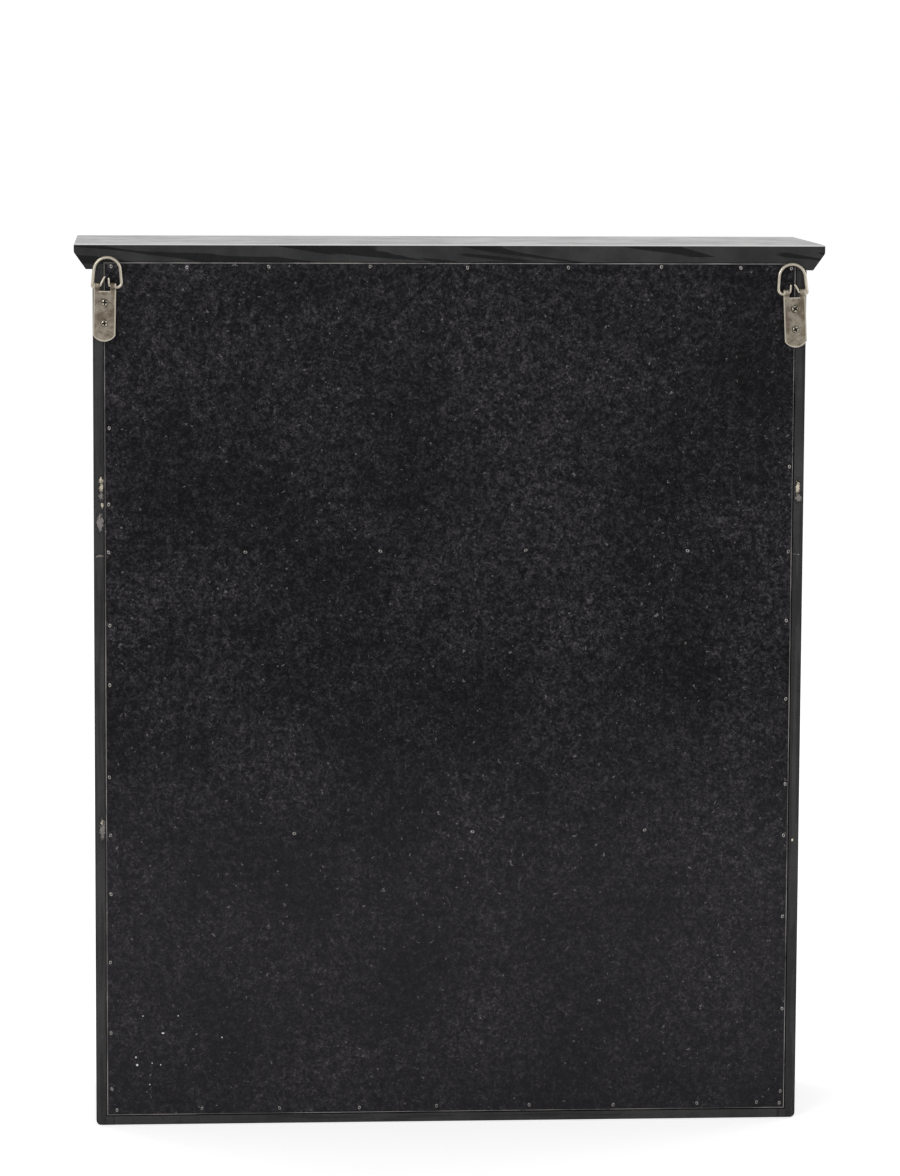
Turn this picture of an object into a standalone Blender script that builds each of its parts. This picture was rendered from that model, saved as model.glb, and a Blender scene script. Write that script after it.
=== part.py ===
"""Wall-hung medicine cabinet with an inset mirror door.

X runs to the right as seen from the front, the door faces -Y and Z is up. Pieces
are laid out from the centre of the underside, and one empty then moves them all so
that the origin lies on the wall, midway between the hanging rings. Lengths are in
metres.
"""

import math

import bmesh
import bpy

# Driving dimensions
TOP_WIDTH = 0.610
HEIGHT = 0.725
BODY_WIDTH = 0.580
BODY_DEPTH = 0.159
FRONT_OVERHANG = 0.019
TOP_THICK = 0.0205
STOCK = 0.015
SHELF_THICK = 0.012
DOOR_THICK = 0.020
DOOR_REVEAL = 0.002
FRAME_WIDTH = 0.055
HINGE_HEIGHTS = (0.115, 0.605)
KNOB_HEIGHT = 0.330
HANG_HEIGHT = 0.710
STRAP_WIDTH = 0.0183
STRAP_LENGTH = 0.0478
WIRE_RADIUS = 0.00135

# Fits. A cutter passes the face it opens by THROUGH.
GAP = 0.0003
THROUGH = 0.002
DADO = 0.005
SHELF_SETBACK = 0.025
REBATE_DEPTH = 0.0043
REBATE_MARGIN = 0.0082
REBATE_BOTTOM = 0.0071
REBATE_RISE = 0.0062
BOARD_MARGIN = 0.009
BOARD_BOTTOM = 0.0079
BOARD_DROP = 0.0007

# Places that follow from the driving dimensions
SIDE_X = BODY_WIDTH / 2
CLEAR_X = SIDE_X - STOCK
BACK_Y = BODY_DEPTH / 2
FRONT_Y = -BACK_Y
TOP_UNDER = HEIGHT - TOP_THICK
REBATE_Y = BACK_Y - REBATE_DEPTH
REBATE_TOP = TOP_UNDER + REBATE_RISE
DOOR_BACK_Y = FRONT_Y + DOOR_THICK
DOOR_X = CLEAR_X - DOOR_REVEAL
DOOR_BOTTOM = STOCK + DOOR_REVEAL
DOOR_TOP = TOP_UNDER - DOOR_REVEAL
BAY = (TOP_UNDER - STOCK - 2 * SHELF_THICK) / 3
SHELF_HEIGHTS = tuple(STOCK + n * BAY + (n - 0.5) * SHELF_THICK for n in (1, 2))

# Carcass details
SIDE_ROUND = 0.004
DOWEL_Y = 0.045
DOWEL_LENGTH = 0.024
DOWEL_CHAMFER = 0.001
TOP_DOWEL_RADIUS = 0.004
BOTTOM_DOWEL_RADIUS = 0.003
BOTTOM_DOWEL_X = CLEAR_X - 0.002
STOP_WIDE = 0.010
BUMPER_THICK = 0.0015
STOP_Y = DOOR_BACK_Y + BUMPER_THICK + 2 * GAP

# Screws: length, shank radius, head radius, and height or sink of the head
HANGER_SCREW = (0.015, 0.0014, 0.00295, 0.0021)
KNOB_SCREW = (0.030, 0.0019, 0.0040, 0.0024)
HINGE_SCREW = (0.0115, 0.0012, 0.0024, 0.0010)
CATCH_SCREW = (0.012, 0.0012, 0.0026, 0.0016)
STRIKE_SCREW = (0.012, 0.0012, 0.0024, 0.0011)

# Strap hangers: ring axis height, strap centre at that height, and lean of the strap's top
STRAP_FOLD = 0.00255
STRAP_SHEET = 0.0008
STRAP_SLIT = 0.0003
STRAP_BORE = 0.00175
STRAP_END_RADIUS = 0.0106
NOTCH_HALF = 0.00425
NOTCH_DROP = -0.00345
HANGER_AXIS_Y = BACK_Y + GAP + STRAP_FOLD
HANGERS = {
    "right": (0.6915, 0.2800, math.radians(-1.1)),
    "left": (0.6870, -0.2798, math.radians(2.6)),
}
RING_TILT = math.radians(3.0)
STRAP_SCREWS = (-0.01365, -0.03045)

# Mirror glass, backing and beads
GLASS_COVER = 0.0463
GLASS_THICK = 0.003
GLASS_BEVEL = 0.023
BEVEL_FALL = 0.0012
GLASS_Y = FRONT_Y + 0.0093
GLASS_X = DOOR_X - GLASS_COVER
GLASS_BOTTOM = DOOR_BOTTOM + GLASS_COVER
GLASS_TOP = DOOR_TOP - GLASS_COVER
BACKING_Y = GLASS_Y + GLASS_THICK + GAP
BACKING_THICK = 0.0027
BEAD_WIDE = 0.007
BEAD_CHAMFER = 0.002

# Knob and bumpers: places on the door, and (radius, distance out) down each profile
KNOB_X = DOOR_X - FRAME_WIDTH / 2
KNOB_PROFILE = (
    (0, 0), (0.0080, 0), (0.0080, 0.0016), (0.0060, 0.0030), (0.0046, 0.0060),
    (0.0046, 0.0100), (0.0080, 0.0130), (0.0122, 0.0165), (0.0130, 0.0195),
    (0.0118, 0.0225), (0.0080, 0.0246), (0, 0.0255),
)
BUMPER_X = DOOR_X - 0.012
BUMPER_INSET = 0.0055
BUMPER_PROFILE = (
    (0, 0), (0.0038, 0), (0.0038, 0.0009), (0.0028, BUMPER_THICK), (0, BUMPER_THICK),
)

# Butt hinges
PIN_RADIUS = 0.0013
PIN_TIP = 0.0026
PIN_BORE = PIN_RADIUS + 0.00035
KNUCKLE_RADIUS = 0.0030
HINGE_HEIGHT = 0.050
HINGE_X = -CLEAR_X + DOOR_REVEAL / 2
HINGE_Y = FRONT_Y - KNUCKLE_RADIUS - GAP
LEAF_THICK = 0.0012
LEAF_PROUD = 0.0005
LEAF_BACK_Y = FRONT_Y + 0.0135
HINGE_SCREW_Y = FRONT_Y + 0.0070
HINGE_SCREW_RISE = 0.015
DOOR_AXIS = (HINGE_X, HINGE_Y, 0)

# Catch on the right side panel
CATCH_HEIGHT = 0.3600
CATCH_FRONT_Y = DOOR_BACK_Y + 0.0022
CATCH_DEEP = 0.016
CATCH_HALF = 0.0175
CATCH_FLANGE = 0.0095
CATCH_FLANGE_THICK = 0.0025
CATCH_WALL = 0.002
MAGNET_POCKET = 0.010
CATCH_OUTER = CLEAR_X - GAP
CATCH_INNER = CATCH_OUTER - 0.012
STRIKE_HALF = 0.016
STRIKE_WIDE = 0.0098
STRIKE_THICK = 0.0016

# Round pieces
SIDES = 12
FINE_SIDES = 20


# ---------------------------------------------------------------- making shapes


def clear_scene():
    """Start from an empty scene."""
    for obj in list(bpy.data.objects):
        bpy.data.objects.remove(obj, do_unlink=True)


def material(name, colour, roughness, metallic=0.0):
    """A plain Principled material, made once."""
    made = bpy.data.materials.get(name)
    if made is None:
        made = bpy.data.materials.new(name)
        made.use_nodes = True
        shader = made.node_tree.nodes["Principled BSDF"]
        shader.inputs["Base Color"].default_value = (*colour, 1.0)
        shader.inputs["Roughness"].default_value = roughness
        shader.inputs["Metallic"].default_value = metallic
        made.diffuse_color = (*colour, 1.0)
    return made


def black_lacquer():
    return material("black_lacquer", (0.016, 0.016, 0.018), 0.22)


def dark_hardboard():
    return material("dark_hardboard", (0.030, 0.029, 0.031), 0.82)


def aged_nickel():
    return material("aged_nickel", (0.40, 0.35, 0.27), 0.36, 1.0)


def dark_steel():
    return material("dark_steel", (0.24, 0.22, 0.19), 0.42, 1.0)


def satin_nickel():
    return material("satin_nickel", (0.58, 0.56, 0.52), 0.30, 1.0)


def silvered_glass():
    return material("silvered_glass", (0.88, 0.90, 0.90), 0.02, 1.0)


def grey_backing():
    return material("grey_backing", (0.24, 0.23, 0.21), 0.85)


def black_plastic():
    return material("black_plastic", (0.03, 0.03, 0.03), 0.48)


def dark_ferrite():
    return material("dark_ferrite", (0.09, 0.09, 0.10), 0.60, 0.4)


def clear_rubber():
    return material("clear_rubber", (0.50, 0.50, 0.48), 0.50)


def beech():
    return material("beech", (0.62, 0.45, 0.28), 0.65)


def finish(name, bm, surface, parent=None, smooth=False):
    """Turn a bmesh into a named object; a surface of None makes it a hidden cutter."""
    bmesh.ops.recalc_face_normals(bm, faces=bm.faces)
    mesh = bpy.data.meshes.new(name)
    bm.to_mesh(mesh)
    bm.free()
    if smooth:
        mesh.shade_smooth()
        mesh.set_sharp_from_angle(angle=math.radians(35))
    obj = bpy.data.objects.new(name, mesh)
    bpy.context.scene.collection.objects.link(obj)
    obj.parent = parent
    if surface is None:
        obj.hide_render = True
        obj.display_type = "WIRE"
    else:
        mesh.materials.append(surface)
    return obj


def empty(name, location, rotation=(0, 0, 0)):
    """An empty that carries pieces about a joint or a fixing."""
    made = bpy.data.objects.new(name, None)
    made.location = location
    made.rotation_euler = rotation
    bpy.context.scene.collection.objects.link(made)
    return made


def loft(bm, sections):
    """Join closed sections with the same number of corners, and cap both ends."""
    rings = [[bm.verts.new(point) for point in section] for section in sections]
    for low, high in zip(rings, rings[1:]):
        for k in range(len(low)):
            after = (k + 1) % len(low)
            bm.faces.new((low[k], low[after], high[after], high[k]))
    bm.faces.new(rings[0])
    bm.faces.new(rings[-1])


def block(name, low, high, surface, parent=None):
    """A rectangular piece between two corners."""
    bm = bmesh.new()
    bmesh.ops.create_cube(bm, size=1.0)
    for vert in bm.verts:
        vert.co = [a + (b - a) * (c + 0.5) for a, b, c in zip(low, high, vert.co)]
    return finish(name, bm, surface, parent)


def prism(name, outline, place, start, end, surface, parent=None, smooth=False):
    """Extrude an outline; place(u, v, w) turns outline and length into X, Y, Z."""
    bm = bmesh.new()
    loft(bm, [[place(u, v, w) for u, v in outline] for w in (start, end)])
    return finish(name, bm, surface, parent, smooth)


def turned(name, profile, surface, parent=None, sides=SIDES):
    """Spin (radius, height) points about local Z; both ends of the profile lie on the axis."""
    bm = bmesh.new()
    verts = [bm.verts.new((radius, 0, height)) for radius, height in profile]
    edges = [bm.edges.new(pair) for pair in zip(verts, verts[1:])]
    bmesh.ops.spin(
        bm, geom=verts + edges, cent=(0, 0, 0), axis=(0, 0, 1), angle=math.tau, steps=sides
    )
    bmesh.ops.remove_doubles(bm, verts=bm.verts, dist=1e-6)
    return finish(name, bm, surface, parent, smooth=True)


def arc(centre, radius, start, end, steps):
    """Points on an arc, with its angles in degrees."""
    turns = (math.radians(start + (end - start) * k / steps) for k in range(steps + 1))
    return [(centre[0] + radius * math.cos(t), centre[1] + radius * math.sin(t)) for t in turns]


def cut(cutter, *targets, operation="DIFFERENCE"):
    """Take a cutter out of each target, or keep only what lies inside it."""
    for target in targets:
        modifier = target.modifiers.new(cutter.name, "BOOLEAN")
        modifier.operation = operation
        modifier.solver = "EXACT"
        modifier.object = cutter


def along(obj, direction, location):
    """Point a turned piece's local Z along X, Y or Z, either way, and place it."""
    turns = {
        "+X": (0, math.pi / 2, 0),
        "-X": (0, -math.pi / 2, 0),
        "+Y": (-math.pi / 2, 0, 0),
        "-Y": (math.pi / 2, 0, 0),
        "+Z": (0, 0, 0),
    }
    obj.rotation_euler = turns[direction]
    obj.location = location
    return obj


# ---------------------------------------------------------------- fasteners


def drill(name, profile, direction, location, targets, parent):
    """Cut a round hole of a given profile into each target."""
    cut(along(turned(name, profile, None, parent), direction, location), *targets)


def pan_screw(name, direction, location, screw, *targets, parent=None):
    """A domed screw and its hole: local Z runs from point to head, zero under the head."""
    length, shank, head, height = screw
    profile = [(0, -length), (shank, -length + 2 * shank), (shank, 0), (head, 0)]
    profile += [(head, 0.35 * height), (0.78 * head, 0.8 * height), (0, height)]
    along(turned(name, profile, dark_steel(), parent), direction, location)
    depth, bore = length + 2 * GAP, shank + GAP
    profile = [(0, -depth), (bore, -depth), (bore, THROUGH), (0, THROUGH)]
    drill(name + "_hole", profile, direction, location, targets, parent)


def flat_screw(name, direction, location, screw, *targets, parent=None):
    """A countersunk screw, its flat head at local zero, and its countersunk hole."""
    length, shank, head, sink = screw
    profile = [(0, -length), (shank, -length + 2 * shank), (shank, -sink), (head, 0), (0, 0)]
    along(turned(name, profile, dark_steel(), parent), direction, location)
    depth, bore, mouth = length + GAP, shank + GAP, head + GAP
    profile = [(0, -depth), (bore, -depth), (bore, -sink), (mouth, 0), (mouth, THROUGH)]
    drill(name + "_hole", [*profile, (0, THROUGH)], direction, location, targets, parent)


# ---------------------------------------------------------------- carcass


def top_board():
    """Moulded front and ends: a short upright edge, a round shoulder and a long chamfer."""
    arris, shoulder, upright, inset = 0.0008, 0.0045, 0.0055, 0.0097
    slope = math.degrees(math.atan2(inset, TOP_THICK - upright))
    edge = arc((arris, -arris), arris, 90, 180, 3)
    edge += arc((shoulder, -upright), shoulder, 180, 180 + slope, 4)
    edge.append((inset, -TOP_THICK))
    half = TOP_WIDTH / 2
    front = FRONT_Y - FRONT_OVERHANG
    sections = []
    for back, drop in edge:
        x, y, z = half - back, front + back, HEIGHT + drop
        sections.append([(-x, y, z), (x, y, z), (x, BACK_Y, z), (-x, BACK_Y, z)])
    bm = bmesh.new()
    loft(bm, sections)
    return finish("top_board", bm, black_lacquer())


def side_panel(name, side):
    """A full-height side with its outer bottom edge rounded."""
    outline = [(CLEAR_X, 0)]
    outline += arc((SIDE_X - SIDE_ROUND, SIDE_ROUND), SIDE_ROUND, 270, 360, 4)
    outline += [(SIDE_X, TOP_UNDER - GAP), (CLEAR_X, TOP_UNDER - GAP)]
    return prism(
        name, outline, lambda u, v, w: (side * u, w, v), FRONT_Y, BACK_Y, black_lacquer()
    )


def bottom_panel():
    x = CLEAR_X - GAP
    return block("bottom_panel", (-x, FRONT_Y, 0), (x, BACK_Y, STOCK), black_lacquer())


def shelf(name, height):
    x = CLEAR_X + DADO - GAP
    low = (-x, FRONT_Y + SHELF_SETBACK, height - SHELF_THICK / 2)
    high = (x, REBATE_Y - GAP, height + SHELF_THICK / 2)
    return block(name, low, high, black_lacquer())


def back_panel():
    x = SIDE_X - BOARD_MARGIN
    low = (-x, REBATE_Y + GAP, BOARD_BOTTOM)
    return block("back_panel", low, (x, BACK_Y - GAP, REBATE_TOP - BOARD_DROP), dark_hardboard())


def door_stop(name, low_z):
    x = CLEAR_X - GAP
    high = (x, STOP_Y + STOP_WIDE, low_z + STOP_WIDE)
    return block(name, (-x, STOP_Y, low_z), high, black_lacquer())


def dowel(name, direction, location, radius, *targets):
    """A glued dowel centred on its joint, with chamfered ends, and its two holes."""
    half, neck = DOWEL_LENGTH / 2, radius - DOWEL_CHAMFER
    shoulder = half - DOWEL_CHAMFER
    profile = [(0, -half), (neck, -half), (radius, -shoulder), (radius, shoulder), (neck, half)]
    along(turned(name, [*profile, (0, half)], beech()), direction, location)
    reach, bore = half + GAP, radius + GAP
    profile = [(0, -reach), (bore, -reach), (bore, reach), (0, reach)]
    drill(name + "_bore", profile, direction, location, targets, None)


def corner_dowels(side, panel, top, bottom):
    """Two dowels at each end of a side panel."""
    sign = -1 if side == "left" else 1
    for place, y in (("front", -DOWEL_Y), ("rear", DOWEL_Y)):
        upper = (sign * (SIDE_X - STOCK / 2), y, TOP_UNDER)
        dowel(f"dowel_top_{side}_{place}", "+Z", upper, TOP_DOWEL_RADIUS, top, panel)
        lower = (sign * BOTTOM_DOWEL_X, y, STOCK / 2)
        dowel(f"dowel_bottom_{side}_{place}", "+X", lower, BOTTOM_DOWEL_RADIUS, bottom, panel)


def housed_shelf(name, height, panels):
    """A shelf and the grooves that hold its ends."""
    shelf(name, height)
    half = SHELF_THICK / 2 + GAP
    low = (-CLEAR_X - DADO, FRONT_Y + SHELF_SETBACK - GAP, height - half)
    high = (CLEAR_X + DADO, REBATE_Y + THROUGH, height + half)
    cut(block(name + "_housing", low, high, None), *panels)


def carcass():
    """The fixed case: housed shelves, rebated hardboard back and dowelled corners."""
    top = top_board()
    sides = {"left": side_panel("side_panel_left", -1), "right": side_panel("side_panel_right", 1)}
    bottom = bottom_panel()
    back = back_panel()
    x = SIDE_X - REBATE_MARGIN
    low, high = (-x, REBATE_Y, REBATE_BOTTOM), (x, BACK_Y + THROUGH, REBATE_TOP)
    cut(block("rebate_cutter", low, high, None), top, bottom, *sides.values())
    for name, height in zip(("shelf_lower", "shelf_upper"), SHELF_HEIGHTS):
        housed_shelf(name, height, sides.values())
    door_stop("door_stop_top", TOP_UNDER - GAP - STOP_WIDE)
    door_stop("door_stop_bottom", STOCK + GAP)
    for side, panel in sides.items():
        corner_dowels(side, panel, top, bottom)
    return sides, back


# ---------------------------------------------------------------- strap hangers


def strap_section(bottom):
    """Sheet folded round the ring's wire and back; the fold is open below the wire."""
    face = -STRAP_FOLD + 2 * STRAP_SHEET + STRAP_SLIT
    section = [(-STRAP_FOLD, bottom), *arc((0, 0), STRAP_FOLD, 180, -75, 12)]
    section += [(face, -0.0039), (face, bottom), (face - STRAP_SHEET, bottom)]
    section += [(face - STRAP_SHEET, -0.0033), *arc((0, 0), STRAP_BORE, -65, 180, 10)]
    return section + [(-STRAP_FOLD + STRAP_SHEET, bottom)]


def strap_plan(half, bottom):
    """The strap from the front: two lugs, a notch between them and a rounded lower end."""
    above, radius = 0.004, STRAP_END_RADIUS
    reach = math.degrees(math.asin(half / radius))
    plan = [(half, above), (NOTCH_HALF, above), (NOTCH_HALF, NOTCH_DROP)]
    plan += [(-NOTCH_HALF, NOTCH_DROP), (-NOTCH_HALF, above), (-half, above)]
    return plan + arc((0, bottom + radius), radius, 270 - reach, 270 + reach, 10)


def folded_strap(name, parent):
    """A strap: what its folded section and its plan have in common."""
    half, bottom, deep = STRAP_WIDTH / 2, STRAP_FOLD - STRAP_LENGTH, 0.006
    strap = prism(
        name, strap_section(bottom), lambda u, v, w: (w, u, v), -half, half, aged_nickel(), parent
    )
    outline = prism(
        name + "_outline", strap_plan(half, bottom), lambda u, v, w: (u, w, v), -deep, deep,
        None, parent,
    )
    cut(outline, strap, operation="INTERSECT")
    return strap


def ring_path():
    """Centre line of the bent wire: a prong, a lug, a side, half the arch, then mirrored."""
    arch_radius, arch_height, foot_x, corner = 0.0106, 0.0120, 0.01165, 0.0036
    prong = [(0.0017, 0.0075), (0.0021, 0.0030), *arc((0.0043, 0.0020), 0.0020, 180, 270, 4)]
    foot = arc((foot_x - corner, corner), corner, 270, 360, 5)
    shoulder = arc((0, arch_height), arch_radius, 4, 90, 9)
    half = [*prong, *foot, *shoulder]
    return half + [(-u, v) for u, v in reversed(half[:-1])]


def hanger_ring(name, parent):
    """Wire swept along its centre line in the ring's own plane, with its origin on the axis."""
    path = ring_path()
    sides = 10
    sections = []
    for k, (u, v) in enumerate(path):
        ahead, behind = path[min(k + 1, len(path) - 1)], path[max(k - 1, 0)]
        du, dv = ahead[0] - behind[0], ahead[1] - behind[1]
        length = math.hypot(du, dv)
        across = (dv / length, -du / length)
        section = []
        for n in range(sides):
            turn = math.tau * n / sides
            out = WIRE_RADIUS * math.cos(turn)
            section.append((u + across[0] * out, WIRE_RADIUS * math.sin(turn), v + across[1] * out))
        sections.append(section)
    bm = bmesh.new()
    loft(bm, sections)
    ring = finish(name, bm, aged_nickel(), parent, smooth=True)
    ring.rotation_euler = (RING_TILT, 0, 0)
    return ring


def hanger(side, panel, back):
    """One strap hanger: folded strap, ring and two screws into the side panel."""
    axis_height, centre, lean = HANGERS[side]
    holder = empty(f"hanger_{side}", (centre, HANGER_AXIS_Y, axis_height), (0, lean, 0))
    strap = folded_strap(f"hanger_strap_{side}", holder)
    hanger_ring(f"hanger_ring_{side}", holder)
    seat = -STRAP_FOLD + 2 * STRAP_SHEET + STRAP_SLIT + GAP
    for place, drop in zip(("upper", "lower"), STRAP_SCREWS):
        pan_screw(
            f"hanger_screw_{side}_{place}", "+Y", (0, seat, drop), HANGER_SCREW, strap, panel,
            back, parent=holder,
        )


# ---------------------------------------------------------------- door


def in_door(point):
    """A point in the door's own frame, whose origin lies on the hinge axis."""
    return tuple(a - b for a, b in zip(point, DOOR_AXIS))


def mitred(name, profile, length, place, parent):
    """A frame member: profile points are (distance in from the outer edge, depth)."""
    half = (length - math.sqrt(2) * GAP) / 2
    sections = [
        [in_door(place(inward, deep, end * (half - inward))) for inward, deep in profile]
        for end in (-1, 1)
    ]
    bm = bmesh.new()
    loft(bm, sections)
    return finish(name, bm, black_lacquer(), parent)


def frame_places(inset):
    """How each of four members turns profile and run into X, Y, Z, and its length."""
    edge_x, low, high = DOOR_X - inset, DOOR_BOTTOM + inset, DOOR_TOP - inset
    middle = (low + high) / 2
    return {
        "hinge": (high - low, lambda inward, deep, run: (-edge_x + inward, deep, middle + run)),
        "latch": (high - low, lambda inward, deep, run: (edge_x - inward, deep, middle + run)),
        "bottom": (2 * edge_x, lambda inward, deep, run: (run, deep, low + inward)),
        "top": (2 * edge_x, lambda inward, deep, run: (run, deep, high - inward)),
    }


def frame_profile():
    """An eased arris, a quirk and ovolo round the opening, and a rebate for the glass."""
    front, ease, ovolo, quirk, lip, rebate = FRONT_Y, 0.0015, 0.0065, 0.0012, 0.009, 0.046
    start = FRAME_WIDTH - ovolo - 0.004
    profile = [(0, DOOR_BACK_Y), *arc((ease, front + ease), ease, 180, 270, 3)]
    profile += [(start, front), (start, front + quirk)]
    profile += arc((start, front + quirk + ovolo), ovolo, 270, 360, 6)
    profile += [(FRAME_WIDTH, front + quirk + ovolo), (FRAME_WIDTH, front + lip)]
    return profile + [(rebate, front + lip), (rebate, DOOR_BACK_Y)]


def door_frame(parent):
    """Two stiles and two rails, mitred at the corners."""
    names = {"hinge": "door_stile_hinge", "latch": "door_stile_latch",
             "bottom": "door_rail_bottom", "top": "door_rail_top"}
    return {
        key: mitred(names[key], frame_profile(), length, place, parent)
        for key, (length, place) in frame_places(0).items()
    }


def mirror_glass(parent):
    """Glass with a wide bevel round its front."""
    sections = []
    for inset, y in ((GLASS_BEVEL, GLASS_Y), (0, GLASS_Y + BEVEL_FALL), (0, GLASS_Y + GLASS_THICK)):
        x, low, high = GLASS_X - inset, GLASS_BOTTOM + inset, GLASS_TOP - inset
        corners = [(-x, y, low), (x, y, low), (x, y, high), (-x, y, high)]
        sections.append([in_door(corner) for corner in corners])
    bm = bmesh.new()
    loft(bm, sections)
    finish("mirror_glass", bm, silvered_glass(), parent)


def mirror_backing(parent):
    low = in_door((-GLASS_X, BACKING_Y, GLASS_BOTTOM))
    high = in_door((GLASS_X, BACKING_Y + BACKING_THICK, GLASS_TOP))
    block("mirror_backing", low, high, grey_backing(), parent)


def glass_beads(parent):
    """Four mitred beads that hold the glass and its backing in the rebate."""
    front, back, wide, chamfer = BACKING_Y + BACKING_THICK + GAP, DOOR_BACK_Y, BEAD_WIDE, BEAD_CHAMFER
    profile = [(0, back), (0, front), (wide, front), (wide, back - chamfer), (wide - chamfer, back)]
    for key, (length, place) in frame_places(GLASS_COVER).items():
        mitred(f"bead_{key}", profile, length, place, parent)


def knob(parent, stile):
    """A turned knob on the latch stile, and the screw that holds it from behind."""
    seat = in_door((KNOB_X, FRONT_Y - GAP, KNOB_HEIGHT))
    made = along(turned("knob", KNOB_PROFILE, satin_nickel(), parent, FINE_SIDES), "-Y", seat)
    back = in_door((KNOB_X, DOOR_BACK_Y + GAP, KNOB_HEIGHT))
    pan_screw("knob_screw", "+Y", back, KNOB_SCREW, stile, made, parent=parent)


def door_bumpers(parent):
    """Soft pads at the latch-side corners, which meet the stops."""
    for name, z in (("upper", DOOR_TOP - BUMPER_INSET), ("lower", DOOR_BOTTOM + BUMPER_INSET)):
        seat = in_door((BUMPER_X, DOOR_BACK_Y + GAP, z))
        pad = turned(f"door_bumper_{name}", BUMPER_PROFILE, clear_rubber(), parent)
        along(pad, "+Y", seat)


# ---------------------------------------------------------------- hinges


def hinge_leaf(name, side, knuckles, centre, wood, parent):
    """A leaf let into the wood, rolled into knuckles that are bored for the pin.

    side is -1 for the cabinet's leaf and 1 for the door's, and knuckles are spans of Z.
    """
    half, reach = HINGE_HEIGHT / 2, LEAF_BACK_Y - HINGE_Y
    face = DOOR_REVEAL / 2 - LEAF_PROUD
    back = face + LEAF_THICK
    start, end = (math.degrees(math.acos(x / KNUCKLE_RADIUS)) for x in (face, back))
    outline = arc((0, 0), KNUCKLE_RADIUS, start, end + 360, 18)
    outline += [(back, reach), (face, reach)]
    leaf = prism(
        name, outline, lambda u, v, w: (centre[0] + side * u, centre[1] + v, centre[2] + w),
        -half, half, satin_nickel(), parent, smooth=True,
    )
    length = half + THROUGH
    profile = [(0, -length), (PIN_BORE, -length), (PIN_BORE, length), (0, length)]
    cut(along(turned(name + "_bore", profile, None, parent, 16), "+Z", centre), leaf)
    clear_spans(name, leaf, knuckles, centre, parent)
    low_x, high_x = sorted((centre[0], centre[0] + side * (back + GAP)))
    low = (low_x, centre[1], centre[2] - half - GAP)
    high = (high_x, centre[1] + reach + GAP, centre[2] + half + GAP)
    cut(block(name + "_mortise", low, high, None, parent), wood)
    return leaf


def clear_spans(name, leaf, knuckles, centre, parent):
    """Cut the leaf back from the other leaf's knuckles."""
    half, reach, past = HINGE_HEIGHT / 2, KNUCKLE_RADIUS + GAP, 0.001
    edges = [-half - past, *(z for span in knuckles for z in span), half + past]
    for k, (low, high) in enumerate(zip(edges[::2], edges[1::2])):
        if high - low < 2 * past:
            continue
        low_corner = (centre[0] - reach, centre[1] - reach, centre[2] + low)
        high_corner = (centre[0] + reach, centre[1] + reach, centre[2] + high)
        cut(block(f"{name}_clear_{k}", low_corner, high_corner, None, parent), leaf)


def hinge_pin(name, location):
    """A pin with a small turned tip at each end."""
    start, end, neck, tip = HINGE_HEIGHT / 2 + GAP, HINGE_HEIGHT / 2 + PIN_TIP, 0.0021, 0.0014
    below = [(0, -end), (tip, 0.0006 - end), (neck, -start), (PIN_RADIUS, -start)]
    above = [(radius, -height) for radius, height in reversed(below)]
    along(turned(name, below + above, satin_nickel()), "+Z", location)


def hinge_screws(place, height, where, leaf, wood, parent):
    """Two countersunk screws through a leaf into its wood."""
    side = -1 if where == "cabinet" else 1
    x = HINGE_X + side * (DOOR_REVEAL / 2 - LEAF_PROUD)
    for end, rise in (("upper", HINGE_SCREW_RISE), ("lower", -HINGE_SCREW_RISE)):
        seat = (x, HINGE_SCREW_Y, height + rise)
        flat_screw(
            f"hinge_{place}_screw_{where}_{end}", "+X" if side < 0 else "-X",
            in_door(seat) if parent else seat, HINGE_SCREW, leaf, wood, parent=parent,
        )


def hinge(place, height, panel, stile, door):
    """A butt hinge: two leaves, a pin and four countersunk screws."""
    third, half = HINGE_HEIGHT / 6, HINGE_HEIGHT / 2
    outer = ((-half, -third - GAP / 2), (third + GAP / 2, half))
    inner = ((-third + GAP / 2, third - GAP / 2),)
    centre = (HINGE_X, HINGE_Y, height)
    fixed = hinge_leaf(f"hinge_{place}_leaf_cabinet", -1, outer, centre, panel, None)
    moving = hinge_leaf(f"hinge_{place}_leaf_door", 1, inner, in_door(centre), stile, door)
    hinge_pin(f"hinge_{place}_pin", centre)
    hinge_screws(place, height, "cabinet", fixed, panel, None)
    hinge_screws(place, height, "door", moving, stile, door)


# ---------------------------------------------------------------- magnetic catch


def catch_housing():
    """A housing with a screw flange above and below, pocketed for its magnet."""
    half, wide, face = CATCH_HALF, CATCH_HALF + CATCH_FLANGE, CATCH_OUTER - CATCH_FLANGE_THICK
    front = CATCH_FRONT_Y
    outline = [(CATCH_OUTER, -wide), (CATCH_OUTER, wide), (face, wide), (face, half)]
    outline += [(CATCH_INNER, half), (CATCH_INNER, -half), (face, -half), (face, -wide)]
    housing = prism(
        "catch_housing", outline, lambda u, v, w: (u, w, CATCH_HEIGHT + v), front,
        front + CATCH_DEEP, black_plastic(),
    )
    left, right, rise = CATCH_INNER + CATCH_WALL, CATCH_OUTER - CATCH_WALL, half - CATCH_WALL
    low = (left, front - THROUGH, CATCH_HEIGHT - rise)
    high = (right, front + MAGNET_POCKET, CATCH_HEIGHT + rise)
    cut(block("catch_pocket", low, high, None), housing)
    low = (left + GAP, front, CATCH_HEIGHT - rise + GAP)
    high = (right - GAP, front + MAGNET_POCKET - GAP, CATCH_HEIGHT + rise - GAP)
    block("catch_magnet", low, high, dark_ferrite())
    return housing


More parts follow.
